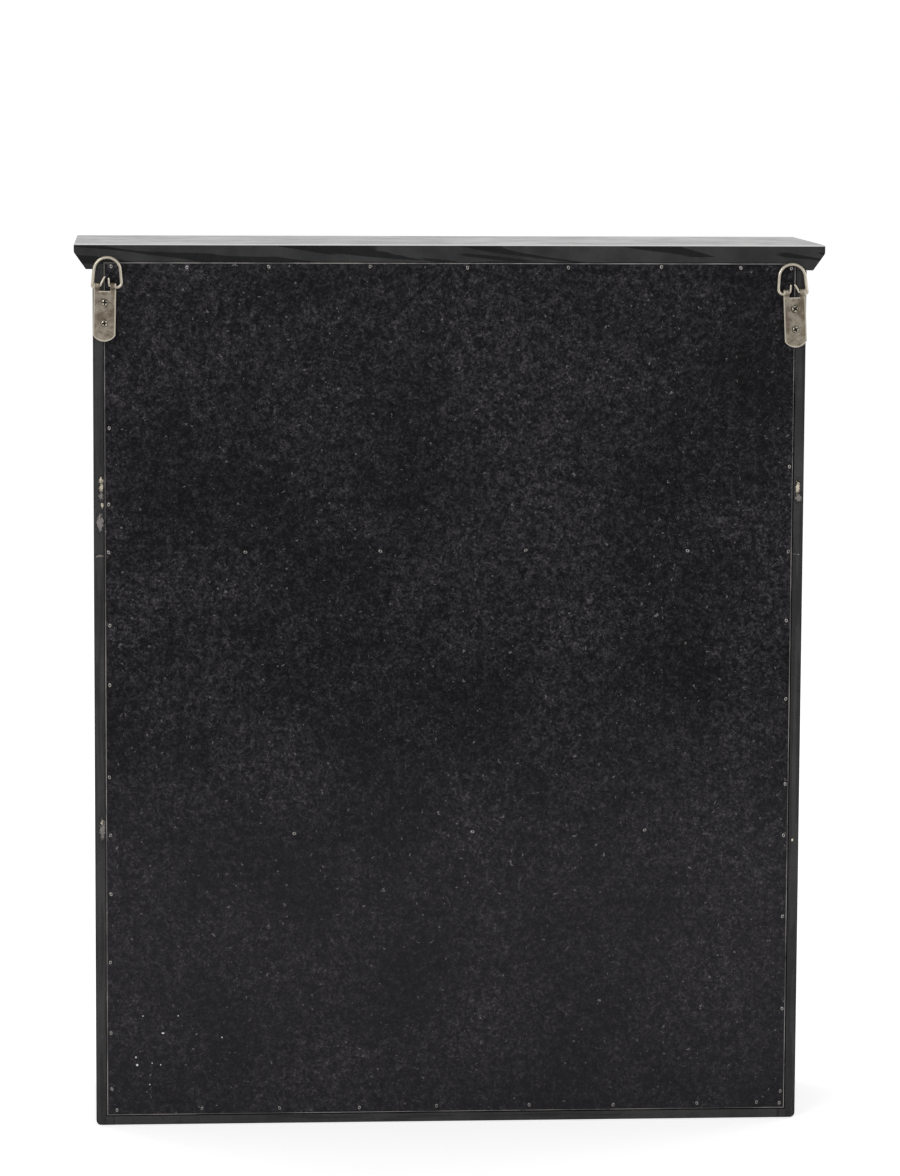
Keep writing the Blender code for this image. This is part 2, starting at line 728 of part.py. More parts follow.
def catch_screws(housing, panel):
    """Two screws through the flanges into the side panel."""
    x, y = CATCH_OUTER - CATCH_FLANGE_THICK - GAP, CATCH_FRONT_Y + CATCH_DEEP / 2
    drop = CATCH_HALF + CATCH_FLANGE / 2 + 0.0005
    for name, sign in (("upper", 1), ("lower", -1)):
        seat = (x, y, CATCH_HEIGHT + sign * drop)
        pan_screw(f"catch_screw_{name}", "-X", seat, CATCH_SCREW, housing, panel)


def catch_strike(stile, door):
    """A steel plate on the door, opposite the magnet, and its screw."""
    near, far = DOOR_BACK_Y + GAP, DOOR_BACK_Y + GAP + STRIKE_THICK
    low = in_door((CATCH_INNER, near, CATCH_HEIGHT - STRIKE_HALF))
    high = in_door((CATCH_INNER + STRIKE_WIDE, far, CATCH_HEIGHT + STRIKE_HALF))
    strike = block("catch_strike", low, high, satin_nickel(), door)
    seat = in_door((CATCH_INNER + STRIKE_WIDE / 2, far, CATCH_HEIGHT))
    flat_screw("catch_strike_screw", "+Y", seat, STRIKE_SCREW, strike, stile, parent=door)


def hang_on_wall():
    """Move everything so that the origin is the hanging point on the wall."""
    cabinet = empty("cabinet", (0, -BACK_Y, -HANG_HEIGHT))
    for obj in bpy.context.scene.objects:
        if obj.parent is None and obj is not cabinet:
            obj.parent = cabinet


def main():
    clear_scene()
    sides, back = carcass()
    for side, panel in sides.items():
        hanger(side, panel, back)
    door = empty("door_axis", DOOR_AXIS)
    members = door_frame(door)
    mirror_glass(door)
    mirror_backing(door)
    glass_beads(door)
    knob(door, members["latch"])
    door_bumpers(door)
    for place, height in zip(("lower", "upper"), HINGE_HEIGHTS):
        hinge(place, height, sides["left"], members["hinge"], door)
    catch_screws(catch_housing(), sides["right"])
    catch_strike(members["latch"], door)
    hang_on_wall()


main()
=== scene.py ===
"""Wall-hung medicine cabinet with a mirror door: its pieces, finishes and studio.

Lengths are in metres. X runs to the right as seen from the front, the door faces -Y,
Z is up, and the origin is on the wall, midway between the hanging rings.
"""

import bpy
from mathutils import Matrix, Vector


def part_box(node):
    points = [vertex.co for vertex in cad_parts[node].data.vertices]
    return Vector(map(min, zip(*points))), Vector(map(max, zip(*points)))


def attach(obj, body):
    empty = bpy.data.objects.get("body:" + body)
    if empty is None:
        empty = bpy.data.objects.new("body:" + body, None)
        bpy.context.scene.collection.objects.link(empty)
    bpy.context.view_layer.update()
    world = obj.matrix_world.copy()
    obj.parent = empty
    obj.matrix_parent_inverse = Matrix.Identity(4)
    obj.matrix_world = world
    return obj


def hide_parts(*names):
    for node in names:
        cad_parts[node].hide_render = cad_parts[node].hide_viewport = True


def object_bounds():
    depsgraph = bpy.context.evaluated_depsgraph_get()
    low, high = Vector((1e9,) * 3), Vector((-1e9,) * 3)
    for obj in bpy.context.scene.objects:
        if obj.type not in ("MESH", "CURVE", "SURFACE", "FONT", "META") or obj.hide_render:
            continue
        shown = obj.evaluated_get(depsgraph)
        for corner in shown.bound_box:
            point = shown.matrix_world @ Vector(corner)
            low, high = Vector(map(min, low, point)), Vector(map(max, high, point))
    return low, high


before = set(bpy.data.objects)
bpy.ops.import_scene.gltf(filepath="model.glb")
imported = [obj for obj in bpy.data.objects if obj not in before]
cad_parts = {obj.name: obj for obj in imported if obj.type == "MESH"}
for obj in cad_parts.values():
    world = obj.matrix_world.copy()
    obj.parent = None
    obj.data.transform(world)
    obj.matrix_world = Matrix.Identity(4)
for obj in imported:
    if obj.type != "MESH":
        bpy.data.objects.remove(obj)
CAD_BOX = [list(corner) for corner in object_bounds()]

import math
from functools import partial

import bmesh
import bpy
import numpy as np
from bpy.props import FloatProperty, FloatVectorProperty, IntProperty, PointerProperty
from mathutils import Matrix, Vector

bl_info = {
    "name": "Mirror-door medicine cabinet",
    "version": (1, 0, 0),
    "blender": (4, 5, 0),
    "location": "3D View > Sidebar > Cabinet",
    "description": "Makes the pieces, finishes and studio of a wall-hung medicine cabinet",
    "category": "Object",
}

MM = 0.001

# Strap hangers: centre and height of the ring's axis, in metres; the strap's lean, in degrees;
# then, in millimetres, the ring's shift in its lugs, and the tips of its two prongs as
# (across, up) from the axis
HANGERS = {
    "right": (0.2800, -0.0185, -1.1, -1.6, (0.1, 7.7), (-2.8, 6.5)),
    "left": (-0.2798, -0.0230, 2.6, 1.4, (2.7, 6.3), (-0.2, 6.4)),
}
AXIS_Y = 2.85 * MM  # where the ring's axis lies, behind the case
RING_TILT = 3.0  # degrees
FOLD_RADIUS = 2.55 * MM  # outside of the sheet where it folds round the wire
FOLD_END = 52.0  # degrees below level where the fold runs out into the outer layer
OUTER_LAYER = -0.65 * MM  # rear face of the outer layer, from the ring's axis
MOUTH = -4.3 * MM  # where the outer layer of the strap leaves the wire
STRAP_FOOT = FOLD_RADIUS - 47.8 * MM
STRAP_HALF = 9.05 * MM
WINDOW_HALF = 4.25 * MM
END_RADIUS = 10.6 * MM
DIMPLE_PLACE, DIMPLE_DEPTH = 6.9 * MM, 0.42 * MM  # one in each lug, off the strap's middle

# Hanger screws: radius and height of the head, radius and length of the shank; where the
# head's underside sits from the ring's axis; each screw's distance up from the axis, in
# millimetres, and its turn, in degrees
SCREW = (2.95 * MM, 1.9 * MM, 1.35 * MM, 14.8 * MM)
SCREW_SEAT = -0.55 * MM
SCREW_DROPS = (("upper", -13.65), ("lower", -30.45))
SCREW_TURNS = {"right_upper": 3, "right_lower": -8, "left_upper": 38, "left_lower": 62}

# Brads: distances along each row, in millimetres, from the cabinet's middle or the origin
BRAD_ROWS = {
    "brads_top": ("x", -3.4, (275, 214, 148, 66, -13, -95, -171, -236, -277.5)),
    "brads_bottom": ("x", -697.5, (273, 203, 139, 73, 9, -68, -138, -208, -258, -277)),
    "brads_right": ("z", 277.6, (-134, -196, -235, -295, -344, -420, -468, -517, -574, -633, -680)),
    "brads_left": ("z", -277.8, (-166, -236, -293, -358, -429, -472, -540, -618, -688)),
    "brads_shelf_upper": ("x", -234.7, (167, 57, -62, -195)),
    "brads_shelf_lower": ("x", -467.2, (127, -19.5, -162)),
}


# ---------------------------------------------------------------- sizes and colours


def colour(label, description, default):
    """A colour setting."""
    return FloatVectorProperty(
        name=label, description=description, default=default, subtype="COLOR", size=3, min=0, max=1
    )


def length(label, description, default):
    """A length setting, in metres."""
    return FloatProperty(
        name=label, description=description, default=default, unit="LENGTH", precision=5, min=0
    )


class CabinetFinishes(bpy.types.PropertyGroup):
    """Colours of the cabinet's finishes."""

    lacquer: colour("Lacquer", "Black lacquer on the case and the door", (0.0022, 0.0022, 0.0024))
    lacquer_bloom: colour("Lacquer bloom", "Thin lacquer and polishing haze", (0.050, 0.049, 0.050))
    filler: colour("Filler", "Grey filler in knocks and holes", (0.27, 0.25, 0.235))
    bare_wood: colour("Bare wood", "Wood laid bare by chips", (0.86, 0.76, 0.60))
    # Painted highlight: a near-white colour laid along the crown's upper rear arris, standing in for
    # the light that arris catches.
    arris_highlight: colour("Worn edge", "Lacquer rubbed thin along an arris", (0.88, 0.87, 0.86))
    speck: colour("Speck", "Specks of paint on the back", (0.85, 0.84, 0.82))
    board: colour("Board", "Black-dyed hardboard", (0.0032, 0.0030, 0.0038))
    board_fibre: colour("Board fibre", "Paler fibres of the hardboard", (0.105, 0.098, 0.110))
    board_edge: colour("Board edge", "Raw, scuffed edge of the hardboard", (0.50, 0.47, 0.45))
    nickel: colour("Nickel", "Bright nickel plating of the hangers", (0.93, 0.86, 0.72))
    tarnish: colour("Tarnish", "Aged patches in that plating", (0.20, 0.16, 0.115))
    brad_steel: colour("Brad steel", "Dulled heads of the brads", (0.62, 0.60, 0.57))
    screw_steel: colour("Screw steel", "Plated steel screws inside", (0.42, 0.41, 0.40))
    bright_nickel: colour("Bright nickel", "Knob and hinges", (0.62, 0.60, 0.56))
    silver: colour("Silver", "Silvering behind the mirror glass", (0.885, 0.905, 0.90))


class CabinetSizes(bpy.types.PropertyGroup):
    """Sizes of the details that finish the cabinet's pieces."""

    arris: length("Arris", "Width of the eased edges of the boards", 0.0006)
    board_scuff: length("Board scuff", "Width of the hardboard's raw edge", 0.0004)
    board_bow: length("Board bow", "Rise of the hardboard between its brads", 0.00012)
    brad_long: length("Brad length", "Length of a brad's head", 0.0029)
    brad_wide: length("Brad width", "Width of a brad's head", 0.0021)
    wire: length("Ring wire", "Radius of the ring's wire", 0.00135)
    prong: length("Prong", "Radius of the wire at the ring's tips", 0.00092)
    sheet: length("Strap sheet", "Thickness of the hanger's sheet", 0.0008)
    rim: length("Strap rim", "Height of the hanger's turned rim", 0.00016)
    recess: length("Recess", "Depth of the cross in a screw's head", 0.0011)
    knob_sides: IntProperty(
        name="Knob sides", description="Steps round the knob", default=72, min=12, max=256
    )


class CabinetStudio(bpy.types.PropertyGroup):
    """Camera, floor and light."""

    lens: FloatProperty(
        name="Lens", description="Focal length", default=134.14, min=20, max=400, unit="CAMERA"
    )
    place: FloatVectorProperty(
        name="Place", description="Where the camera stands", default=(0.2456, 3.5466, 0.1581),
        subtype="TRANSLATION", unit="LENGTH", size=3, precision=4,
    )
    heading: FloatProperty(
        name="Heading", description="Turn away from straight on", default=-0.06914,
        subtype="ANGLE", precision=3,
    )
    tilt: FloatProperty(
        name="Tilt", description="Angle down from level", default=0.11847,
        subtype="ANGLE", precision=3,
    )
    roll: FloatProperty(
        name="Roll", description="Lean of the camera", default=0.00496,
        subtype="ANGLE", precision=3,
    )
    floor: colour("Floor", "Pale floor", (0.90, 0.90, 0.90))
    floor_glow: FloatProperty(
        name="Floor glow", description="Light that lifts the floor to white", default=0.58, min=0
    )
    sky: FloatProperty(name="Sky", description="Brightness of the room", default=1.0, min=0)
    key: FloatProperty(
        name="Key", description="Power of the large soft light", default=22.0, unit="POWER", min=0
    )
    fill: FloatProperty(
        name="Fill", description="Power of each side light", default=9.0, unit="POWER", min=0
    )


# ---------------------------------------------------------------- surfaces


def grid_quads(rows, columns, close_rows=False, close_columns=False):
    """Quads of a grid whose point (i, j) is number i * columns + j.

    A closed direction joins its last line of points to its first.
    """
    i = np.arange(rows if close_rows else rows - 1)
    j = np.arange(columns if close_columns else columns - 1)
    i, j = np.meshgrid(i, j, indexing="ij")
    below, beside = (i + 1) % rows, (j + 1) % columns
    corners = (i * columns + j, below * columns + j, below * columns + beside, i * columns + beside)
    return np.stack(corners, -1).reshape(-1, 4)


def end_rings(rows, columns):
    """Numbers of the first and the last row of a grid, as two polygons."""
    return [np.arange(columns), (rows - 1) * columns + np.arange(columns)]


def put_in(name, points, quads, caps=(), masks=None, sharp=35.0, closed=True):
    """Make a mesh of points, quads and polygon caps.

    Points at one place become one point, and a quad that loses a corner becomes a
    triangle. masks are named values per point. Edges sharper than the angle stay crisp.
    """
    points = np.asarray(points, float).reshape(-1, 3)
    _, first, place = np.unique(
        np.round(points, 7), axis=0, return_index=True, return_inverse=True
    )
    place = place.reshape(-1)
    quads = place[quads]
    doubled = quads == np.roll(quads, -1, axis=1)
    lost = doubled.sum(axis=1)
    whole = quads[lost == 0]
    whole = whole[(whole[:, 0] != whole[:, 2]) & (whole[:, 1] != whole[:, 3])]
    thirds = quads[lost == 1][~doubled[lost == 1]].reshape(-1, 3)
    polygons = [place[cap] for cap in caps]
    polygons = [cap[cap != np.roll(cap, -1)] for cap in polygons]
    faces = whole.tolist() + thirds.tolist() + [cap.tolist() for cap in polygons]
    mesh = bpy.data.meshes.new(name)
    mesh.from_pydata(points[first].tolist(), [], faces)
    for label, values in (masks or {}).items():
        attribute = mesh.attributes.new(label, "FLOAT", "POINT")
        spread = np.asarray(values, float).reshape(-1)[first]
        attribute.data.foreach_set("value", spread.astype(np.float32))
    if closed:
        shell = bmesh.new()
        shell.from_mesh(mesh)
        bmesh.ops.recalc_face_normals(shell, faces=shell.faces)
        shell.to_mesh(mesh)
        shell.free()
    mesh.shade_smooth()
    mesh.set_sharp_from_angle(angle=math.radians(sharp))
    mesh.update()
    return mesh


def make_piece(name, shape, body, finish, stands_for=(), masks=None, sharp=35.0,
               closed=True):
    """Make a piece that rides on a body and stands for CAD nodes.

    Its shape is its points, its quads and any caps.
    """
    mesh = put_in(name, *shape, masks=masks, sharp=sharp, closed=closed)
    if not len(mesh.polygons):
        raise RuntimeError(f"{name} has no faces")
    earlier = bpy.data.objects.get(name)
    if earlier is not None:
        bpy.data.objects.remove(earlier, do_unlink=True)
    piece = bpy.data.objects.new(name, mesh)
    bpy.context.scene.collection.objects.link(piece)
    piece.data.materials.append(finish_for(finish))
    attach(piece, body)
    if stands_for:
        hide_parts(*stands_for)
    return piece


def ease(piece, width, angle=50.0, segments=3, join=False):
    """Round a piece's sharp edges, and keep its flats flat.

    join first makes one body of loose triangles and clears the lines across its flats.
    """
    if join:
        weld = piece.modifiers.new("Join", "WELD")
        weld.merge_threshold = 1e-6
        clear = piece.modifiers.new("Clear flats", "DECIMATE")
        clear.decimate_type = "DISSOLVE"
        clear.angle_limit = math.radians(0.5)
    bevel = piece.modifiers.new("Arris", "BEVEL")
    bevel.width = width
    bevel.segments = segments
    bevel.limit_method = "ANGLE"
    bevel.angle_limit = math.radians(angle)
    bevel.miter_outer = "MITER_ARC"
    if not join:
        keep = piece.modifiers.new("Keep flats", "WEIGHTED_NORMAL")
        keep.keep_sharp = True
    return piece


def arc(centre, radius, start, end, steps):
    """Points (n, 2) on an arc: the centre plus radius times (cosine, sine) of each angle."""
    turn = np.radians(np.linspace(start, end, steps + 1))
    return np.array(centre) + radius * np.stack([np.cos(turn), np.sin(turn)], -1)


def smooth_line(points, steps):
    """A curve through points: on each span the Catmull-Rom cubic of its four neighbours."""
    points = np.asarray(points, float)
    padded = np.concatenate([2 * points[:1] - points[1:2], points, 2 * points[-1:] - points[-2:-1]])
    before, start, end, after = padded[:-3], padded[1:-2], padded[2:-1], padded[3:]
    t = (np.arange(steps) / steps)[None, :, None]
    before, start, end, after = (p[:, None] for p in (before, start, end, after))
    curve = 0.5 * (
        2 * start + (end - before) * t + (2 * before - 5 * start + 4 * end - after) * t**2
        + (3 * start - before - 3 * end + after) * t**3
    )
    return np.concatenate([curve.reshape(-1, points.shape[1]), points[-1:]])


def even_line(points, count):
    """The same line with its points at equal distances along it."""
    points = np.asarray(points, float)
    steps = np.linalg.norm(np.diff(points, axis=0), axis=1)
    run = np.concatenate([[0.0], np.cumsum(steps)])
    wanted = np.linspace(0, run[-1], count)
    return np.stack([np.interp(wanted, run, points[:, k]) for k in range(points.shape[1])], -1)


def spun(profile, sides, centre, axis):
    """A profile turned about an axis.

    Point = centre + height * axis + radius * (cosine * across + sine * along), for the
    profile's (radius, height) and each angle.
    """
    axis = np.array(axis, float)
    across = np.array([0.0, 0.0, 1.0]) if abs(axis[2]) < 0.5 else np.array([1.0, 0.0, 0.0])
    along = np.cross(axis, across)
    turn = np.arange(sides) * math.tau / sides
    round_ = np.cos(turn)[:, None] * across + np.sin(turn)[:, None] * along
    radius, height = profile[:, 0, None, None], profile[:, 1, None, None]
    return np.array(centre) + height * axis + radius * round_[None]


def swept(path, radii, sides):
    """A round wire along a flat path in X and Z.

    Point = path + radius * (cosine * left of the path + sine * Y).
    """
    ahead = np.gradient(path, axis=0)
    ahead /= np.linalg.norm(ahead, axis=1)[:, None]
    left = np.stack([ahead[:, 1], -ahead[:, 0]], -1)
    turn = np.arange(sides) * math.tau / sides
    out = radii[:, None] * np.cos(turn)
    x = path[:, 0, None] + out * left[:, 0, None]
    z = path[:, 1, None] + out * left[:, 1, None]
    y = radii[:, None] * np.sin(turn)
    return np.stack([x, y, z], -1)


def smoothstep(low, high, value):
    """0 below low, 1 above high, and 3t^2 - 2t^3 between."""
    t = np.clip((value - low) / (high - low), 0, 1)
    return t * t * (3 - 2 * t)


def ripple(x, z, size):
    """Gentle unevenness from -1 to 1: the mean of four plane waves about size long."""
    waves = ((1.0, 0.31, 0.4), (-0.43, 1.07, 2.1), (0.71, -0.83, 4.4), (1.63, 1.21, 5.3))
    total = sum(np.sin(math.tau * (a * x + b * z) / size + c) for a, b, c in waves)
    return total / len(waves)


# ---------------------------------------------------------------- shapes of the pieces


def crown_surface():
    """The top board, level by level, and a mask of its upper rear arris.

    Each level is the board's rectangle drawn in at the front and both ends by the
    moulding: a small arris, an upright edge, a round shoulder and a long chamfer. Below
    the rebate's top the rear edge steps forward between the rebate's shoulders.
    """
    low, high = (np.array(corner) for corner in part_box("top_board"))
    board_high = np.array(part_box("back_panel")[1])
    arris, shoulder, upright, inset = 0.8 * MM, 4.5 * MM, 5.5 * MM, 9.7 * MM
    rebate, above_board, beside_board = 4.3 * MM, 0.7 * MM, 0.8 * MM
    thick = high[2] - low[2]
    slope = math.degrees(math.atan2(inset, thick - upright))
    edge = np.concatenate([
        arc((arris, -arris), arris, 90, 180, 6),
        [[0, -1.5 * arris]],
        arc((shoulder, -upright), shoulder, 180, 180 + slope, 10),
        [[inset, -thick]],
    ])
    split = board_high[2] + above_board - high[2]
    at_split = np.interp(-split, -edge[:, 1], edge[:, 0])
    above, below = edge[edge[:, 1] > split], edge[edge[:, 1] < split]
    edge = np.concatenate([above, [[at_split, split]] * 2, below])
    step = np.concatenate([np.zeros(len(above) + 1), np.full(len(below) + 1, -rebate)])
    half, notch = high[0] - edge[:, 0], np.full(len(edge), board_high[0] + beside_board)
    eased = edge[:, 1] > -1.1 * arris
    front, rear = low[1] + edge[:, 0], np.where(eased, -edge[:, 0], 0.0)
    x = np.stack([-half, half, half, notch, notch, -notch, -notch, -half], -1)
    y = np.stack([front, front, rear, rear, step, step, rear, rear], -1)
    z = np.broadcast_to((high[2] + edge[:, 1])[:, None], x.shape)
    # Mask of the upper rear arris, where the pale painted highlight goes.
    worn = (eased & (edge[:, 1] < 0))[:, None] * (np.arange(8) > 1)
    points = np.stack([x, y, z], -1)
    rows, columns = x.shape
    quads = grid_quads(rows, columns, close_columns=True)
    return points, quads, end_rings(rows, columns), worn


def bottom_surface():
    """The bottom board: its section, with a rebate for the back, carried from side to side.

    It reaches a little past its CAD solid, so that no gap shows at the side panels.
    """
    reach = 0.26 * MM
    low, high = (np.array(corner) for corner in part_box("bottom_panel"))
    board = np.array(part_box("back_panel")[0])
    shoulder, rebate = board[2] - 0.8 * MM, board[1] - 0.3 * MM
    section = np.array([
        (low[1], low[2]), (low[1], high[2]), (rebate, high[2]), (rebate, shoulder),
        (high[1], shoulder), (high[1], low[2]),
    ])
    run = np.array([low[0] - reach, high[0] + reach])[:, None]
    x = np.broadcast_to(run, (2, len(section)))
    y, z = (np.broadcast_to(section[:, k], x.shape) for k in (0, 1))
    quads = grid_quads(2, len(section), close_columns=True)
    return np.stack([x, y, z], -1), quads, end_rings(2, len(section))


def board_rise(x, z, sizes):
    """How far the hardboard stands off its rearmost plane: a slow ripple, never above it."""
    return sizes.board_bow * (ripple(x, z, 0.16) - 1)


def sheet_surface(sizes):
    """The hardboard back: a grid with two more lines of points round it for its edge.

    Its rear rises between the brads by a slow ripple, and its rim is a narrow chamfer of
    uneven width. The front is one flat polygon round the outermost line.
    """
    low, high = (np.array(corner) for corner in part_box("back_panel"))
    scuff = sizes.board_scuff

    def spread(start, end, count):
        inner = np.linspace(start + 4 * scuff, end - 4 * scuff, count)
        first = [start, start, start + scuff, start + 2 * scuff]
        return np.concatenate([first, inner, [end - 2 * scuff, end - scuff, end, end]])

    x, z = spread(low[0], high[0], 84), spread(low[2], high[2], 104)
    rank_x = np.minimum(np.arange(len(x)), np.arange(len(x))[::-1])
    rank_z = np.minimum(np.arange(len(z)), np.arange(len(z))[::-1])
    rank = np.minimum(rank_x[:, None], rank_z[None, :])
    x, z = np.meshgrid(x, z, indexing="ij")
    uneven = 1 + 0.3 * ripple(x, z, 0.031) + 0.2 * ripple(z, x, 0.0087)
    depth = scuff * np.clip(uneven, 0.5, 1.6)
    rear = high[1] + np.where(rank > 3, board_rise(x, z, sizes), -sizes.board_bow)
    y = np.select([rank == 0, rank == 1], [np.full_like(x, low[1]), rear - depth], rear)
    edge = ((rank == 1) | (rank == 2)).astype(float)
    columns = x.shape[1]
    quads = grid_quads(*x.shape)
    rim = np.concatenate([
        np.arange(columns), (np.arange(1, x.shape[0]) * columns + columns - 1),
        (x.shape[0] - 1) * columns + np.arange(columns - 2, -1, -1),
        np.arange(x.shape[0] - 2, 0, -1) * columns,
    ])
    return np.stack([x, y, z], -1), quads, [rim], edge


def brad_surface(centres, sizes, lying):
    """Heads of a row of brads, as one mesh of small closed caps, with a mask of painted shade.

    Each is a ring of points whose radius and height run down a low crown with a slight
    dimple, stretched to an oval: x = long * radius * cosine, z = wide * radius * sine.
    """
    profile = np.array([[0, 0.04], [0.48, 0.06], [0.66, 0.26], [0.88, 0.22], [1.02, 0.07],
                        [1.3, 0.03], [1.35, -0.6]])
    # Painted shade: the dimple and the rim, where the head sinks to the board, are darkened in the
    # finish; only the raised ring stays bright.
    dark = np.array([1.0, 1.0, 0.0, 0.0, 0.6, 1.0, 1.0])
    sides = 14
    turn = np.arange(sides) * math.tau / sides
    long, wide = (sizes.brad_long, sizes.brad_wide)[:: 1 if lying else -1]
    across = profile[:, 0, None] * np.cos(turn) * long / 2
    along = profile[:, 0, None] * np.sin(turn) * wide / 2
    rise = np.broadcast_to(profile[:, 1, None] * MM, across.shape)
    count = len(centres)
    skew = (0.5 * np.sin(np.arange(count) * 2.4))[:, None, None]
    x = centres[:, 0, None, None] + across * np.cos(skew) - along * np.sin(skew)
    y = centres[:, 1, None, None] + rise
    z = centres[:, 2, None, None] + across * np.sin(skew) + along * np.cos(skew)
    points = np.stack([x, y, z], -1)
    rows = len(profile)
    one = grid_quads(rows, sides, close_columns=True)
    start = np.arange(count) * rows * sides
    quads = (one[None] + start[:, None, None]).reshape(-1, 4)
    last = end_rings(rows, sides)[1]
    shade = np.broadcast_to(dark[None, :, None], x.shape)
    return points, quads, [last + offset for offset in start], shade


def strap_section(sizes):
    """Middle line of the folded sheet, as (Y, Z) about the ring's axis, and its parts.

    It runs up the outer layer, eases out over the wire, goes round it, and runs straight
    down the inner layer. Returns the line, its normals and a mark for each row: 0 on
    the outer layer, 1 round the wire, 2 on the inner layer.
    """
    outer_rows, inner_rows = 64, 40
    half = sizes.sheet / 2
    outer_y, inner_y = OUTER_LAYER - half, half - FOLD_RADIUS
    outer_z = np.linspace(STRAP_FOOT, MOUTH, outer_rows)
    inner_z = np.linspace(MOUTH, STRAP_FOOT, inner_rows)
    outer = np.stack([np.full(outer_rows, outer_y), outer_z], -1)
    inner = np.stack([np.full(inner_rows, inner_y), inner_z], -1)
    turn = arc((0, 0), FOLD_RADIUS - half, -FOLD_END, 180, 40)
    start, end = outer[-1], turn[0]
    t = np.linspace(0, 1, 9)[1:-1, None]
    lean = np.array([math.sin(math.radians(FOLD_END)), math.cos(math.radians(FOLD_END))])
    pull = np.linalg.norm(end - start) * 0.9
    into = (
        (2 * t**3 - 3 * t**2 + 1) * start + (t**3 - 2 * t**2 + t) * pull * np.array([0.35, 0.94])
        + (3 * t**2 - 2 * t**3) * end + (t**3 - t**2) * pull * lean
    )
    down_z = np.linspace(0, MOUTH, 8)[1:-1]
    fold = np.concatenate([into, turn, np.stack([np.full(len(down_z), inner_y), down_z], -1)])
    line = np.concatenate([outer, fold, inner])
    part = np.repeat([0.0, 1.0, 2.0], [len(outer), len(fold), len(inner)])
    ahead = np.gradient(line, axis=0)
    ahead /= np.linalg.norm(ahead, axis=1)[:, None]
    normal = np.stack([ahead[:, 1], -ahead[:, 0]], -1)
    return line, normal, part


def strap_surface(sizes):
    """A hanger's blank bent along its section, before it gets its thickness.

    Across, t runs from -1 to 1 times half the width. Both ends are arcs, so a row's
    height is its own plus R - sqrt(R^2 - x^2), fading towards the fold. A window between
    the lugs is left out. The outer layer has a low turned rim and a dimple in each lug.
    """
    line, normal, part = strap_section(sizes)
    lug = np.linspace(WINDOW_HALF, STRAP_HALF, 15)
    across = np.linspace(-WINDOW_HALF, WINDOW_HALF, 24)[1:-1]
    x = np.concatenate([-lug[::-1], across, lug])
    end = END_RADIUS - np.sqrt(END_RADIUS**2 - x**2)
    height, part_of = line[:, 1, None], part[:, None]
    fade = np.clip((MOUTH - height) / (MOUTH - STRAP_FOOT), 0, 1) * (part_of != 1)
    rise = fade * end
    xs = np.broadcast_to(x, rise.shape)
    outer = (part_of < 2).astype(float)
    side = (STRAP_HALF - np.abs(xs)) / (1.0 * MM)
    foot = (height - STRAP_FOOT) / (1.1 * MM)
    sill = (MOUTH - height) / (0.9 * MM) + 9 * (np.abs(xs) > WINDOW_HALF)
    rim = np.maximum(np.exp(-(side**4)), np.exp(-(foot**4)) * (part_of == 0))
    rim = np.maximum(rim, np.exp(-(sill**4)) * (part_of == 0))
    uneven = ripple(xs, height + rise, 13 * MM) * 0.035 * MM
    dimple_x = (np.abs(xs) - DIMPLE_PLACE) / (0.8 * MM)
    dimple_z = (height - 0.1 * MM) / (1.0 * MM)
    facing = (normal[:, 0, None] > 0.3) & (part_of == 1)
    dimple = np.exp(-(dimple_x**4) - dimple_z**2) * facing
    out = outer * (sizes.rim * rim * (part_of == 0) + uneven) - DIMPLE_DEPTH * dimple
    y = line[:, 0, None] + normal[:, 0, None] * out
    z = height + normal[:, 1, None] * out + rise
    points = np.stack([xs, y, z], -1)
    rows, columns = xs.shape
    quads = grid_quads(rows, columns)
    i, j = quads[:, 0] // columns, quads[:, 0] % columns
    open_rows = (part[i] == 1) | ((part[i] == 0) & (part[np.minimum(i + 1, rows - 1)] == 1))
    open_columns = (x[j] > -WINDOW_HALF - 1e-7) & (x[j] < WINDOW_HALF - 1e-7)
    return points, quads[~(open_rows & open_columns)], rim * outer, dimple


def ring_line(shift, tips):
    """Centre line of a bent ring in its own plane, in metres, from one prong to the other.

    Up one side, over a half-round arch and down the other side; each foot turns in
    through a lug and ends in a prong that rises and leans to its tip.
    """
    arch_radius, arch_height, foot_x, sag = 10.6, 12.0, 11.65, 1.3
    tight, wide = 1.3, 3.8
    halves = []
    for side, tip in zip((1, -1), tips):
        corner = tight if side * shift < 0 else wide
        foot, end = foot_x + side * shift, side * tip[0]
        rise = np.array([1.0, 0.62, 0.22])[:, None]
        prong = rise * np.array([end, tip[1]]) + (1 - rise) * np.array([3.3, 0.9])
        prong = smooth_line([*prong, (3.75, 0.18), (4.7, 0.0), (7.0, -0.3)], 8)
        bend = arc((foot - corner, corner - sag), corner, 270, 360, 10)
        top = arc((side * shift, arch_height), arch_radius, 4, 90, 26)
        half = np.concatenate([prong, bend, top])
        halves.append(half * np.array([side, 1.0]))
    line = np.concatenate([halves[0], halves[1][::-1][1:]]) * MM
    return even_line(line, 240)


def wire_radii(count, sizes):
    """Radius at each point of a ring: drawn down to the prongs, and rounded at the tips."""
    from_end = np.minimum(np.arange(count), np.arange(count)[::-1])
    slim = 1 - smoothstep(0.02, 0.13, from_end / (count - 1))
    radii = sizes.wire + (sizes.prong - sizes.wire) * slim
    return radii * np.sqrt(1 - 0.75 * (1 - np.clip(from_end / 4, 0, 1)) ** 2)


def hang(points, side, tilt=0.0):
    """Turn points from a hanger's own frame into the cabinet's: tilt about X, then lean about Y."""
    centre, height, lean = HANGERS[side][:3]
    turn = Matrix.Translation((centre, AXIS_Y, height))
    turn = turn @ Matrix.Rotation(math.radians(lean), 4, "Y")
    turn = np.array(turn @ Matrix.Rotation(math.radians(tilt), 4, "X"))
    return points @ turn[:3, :3].T + turn[:3, 3]


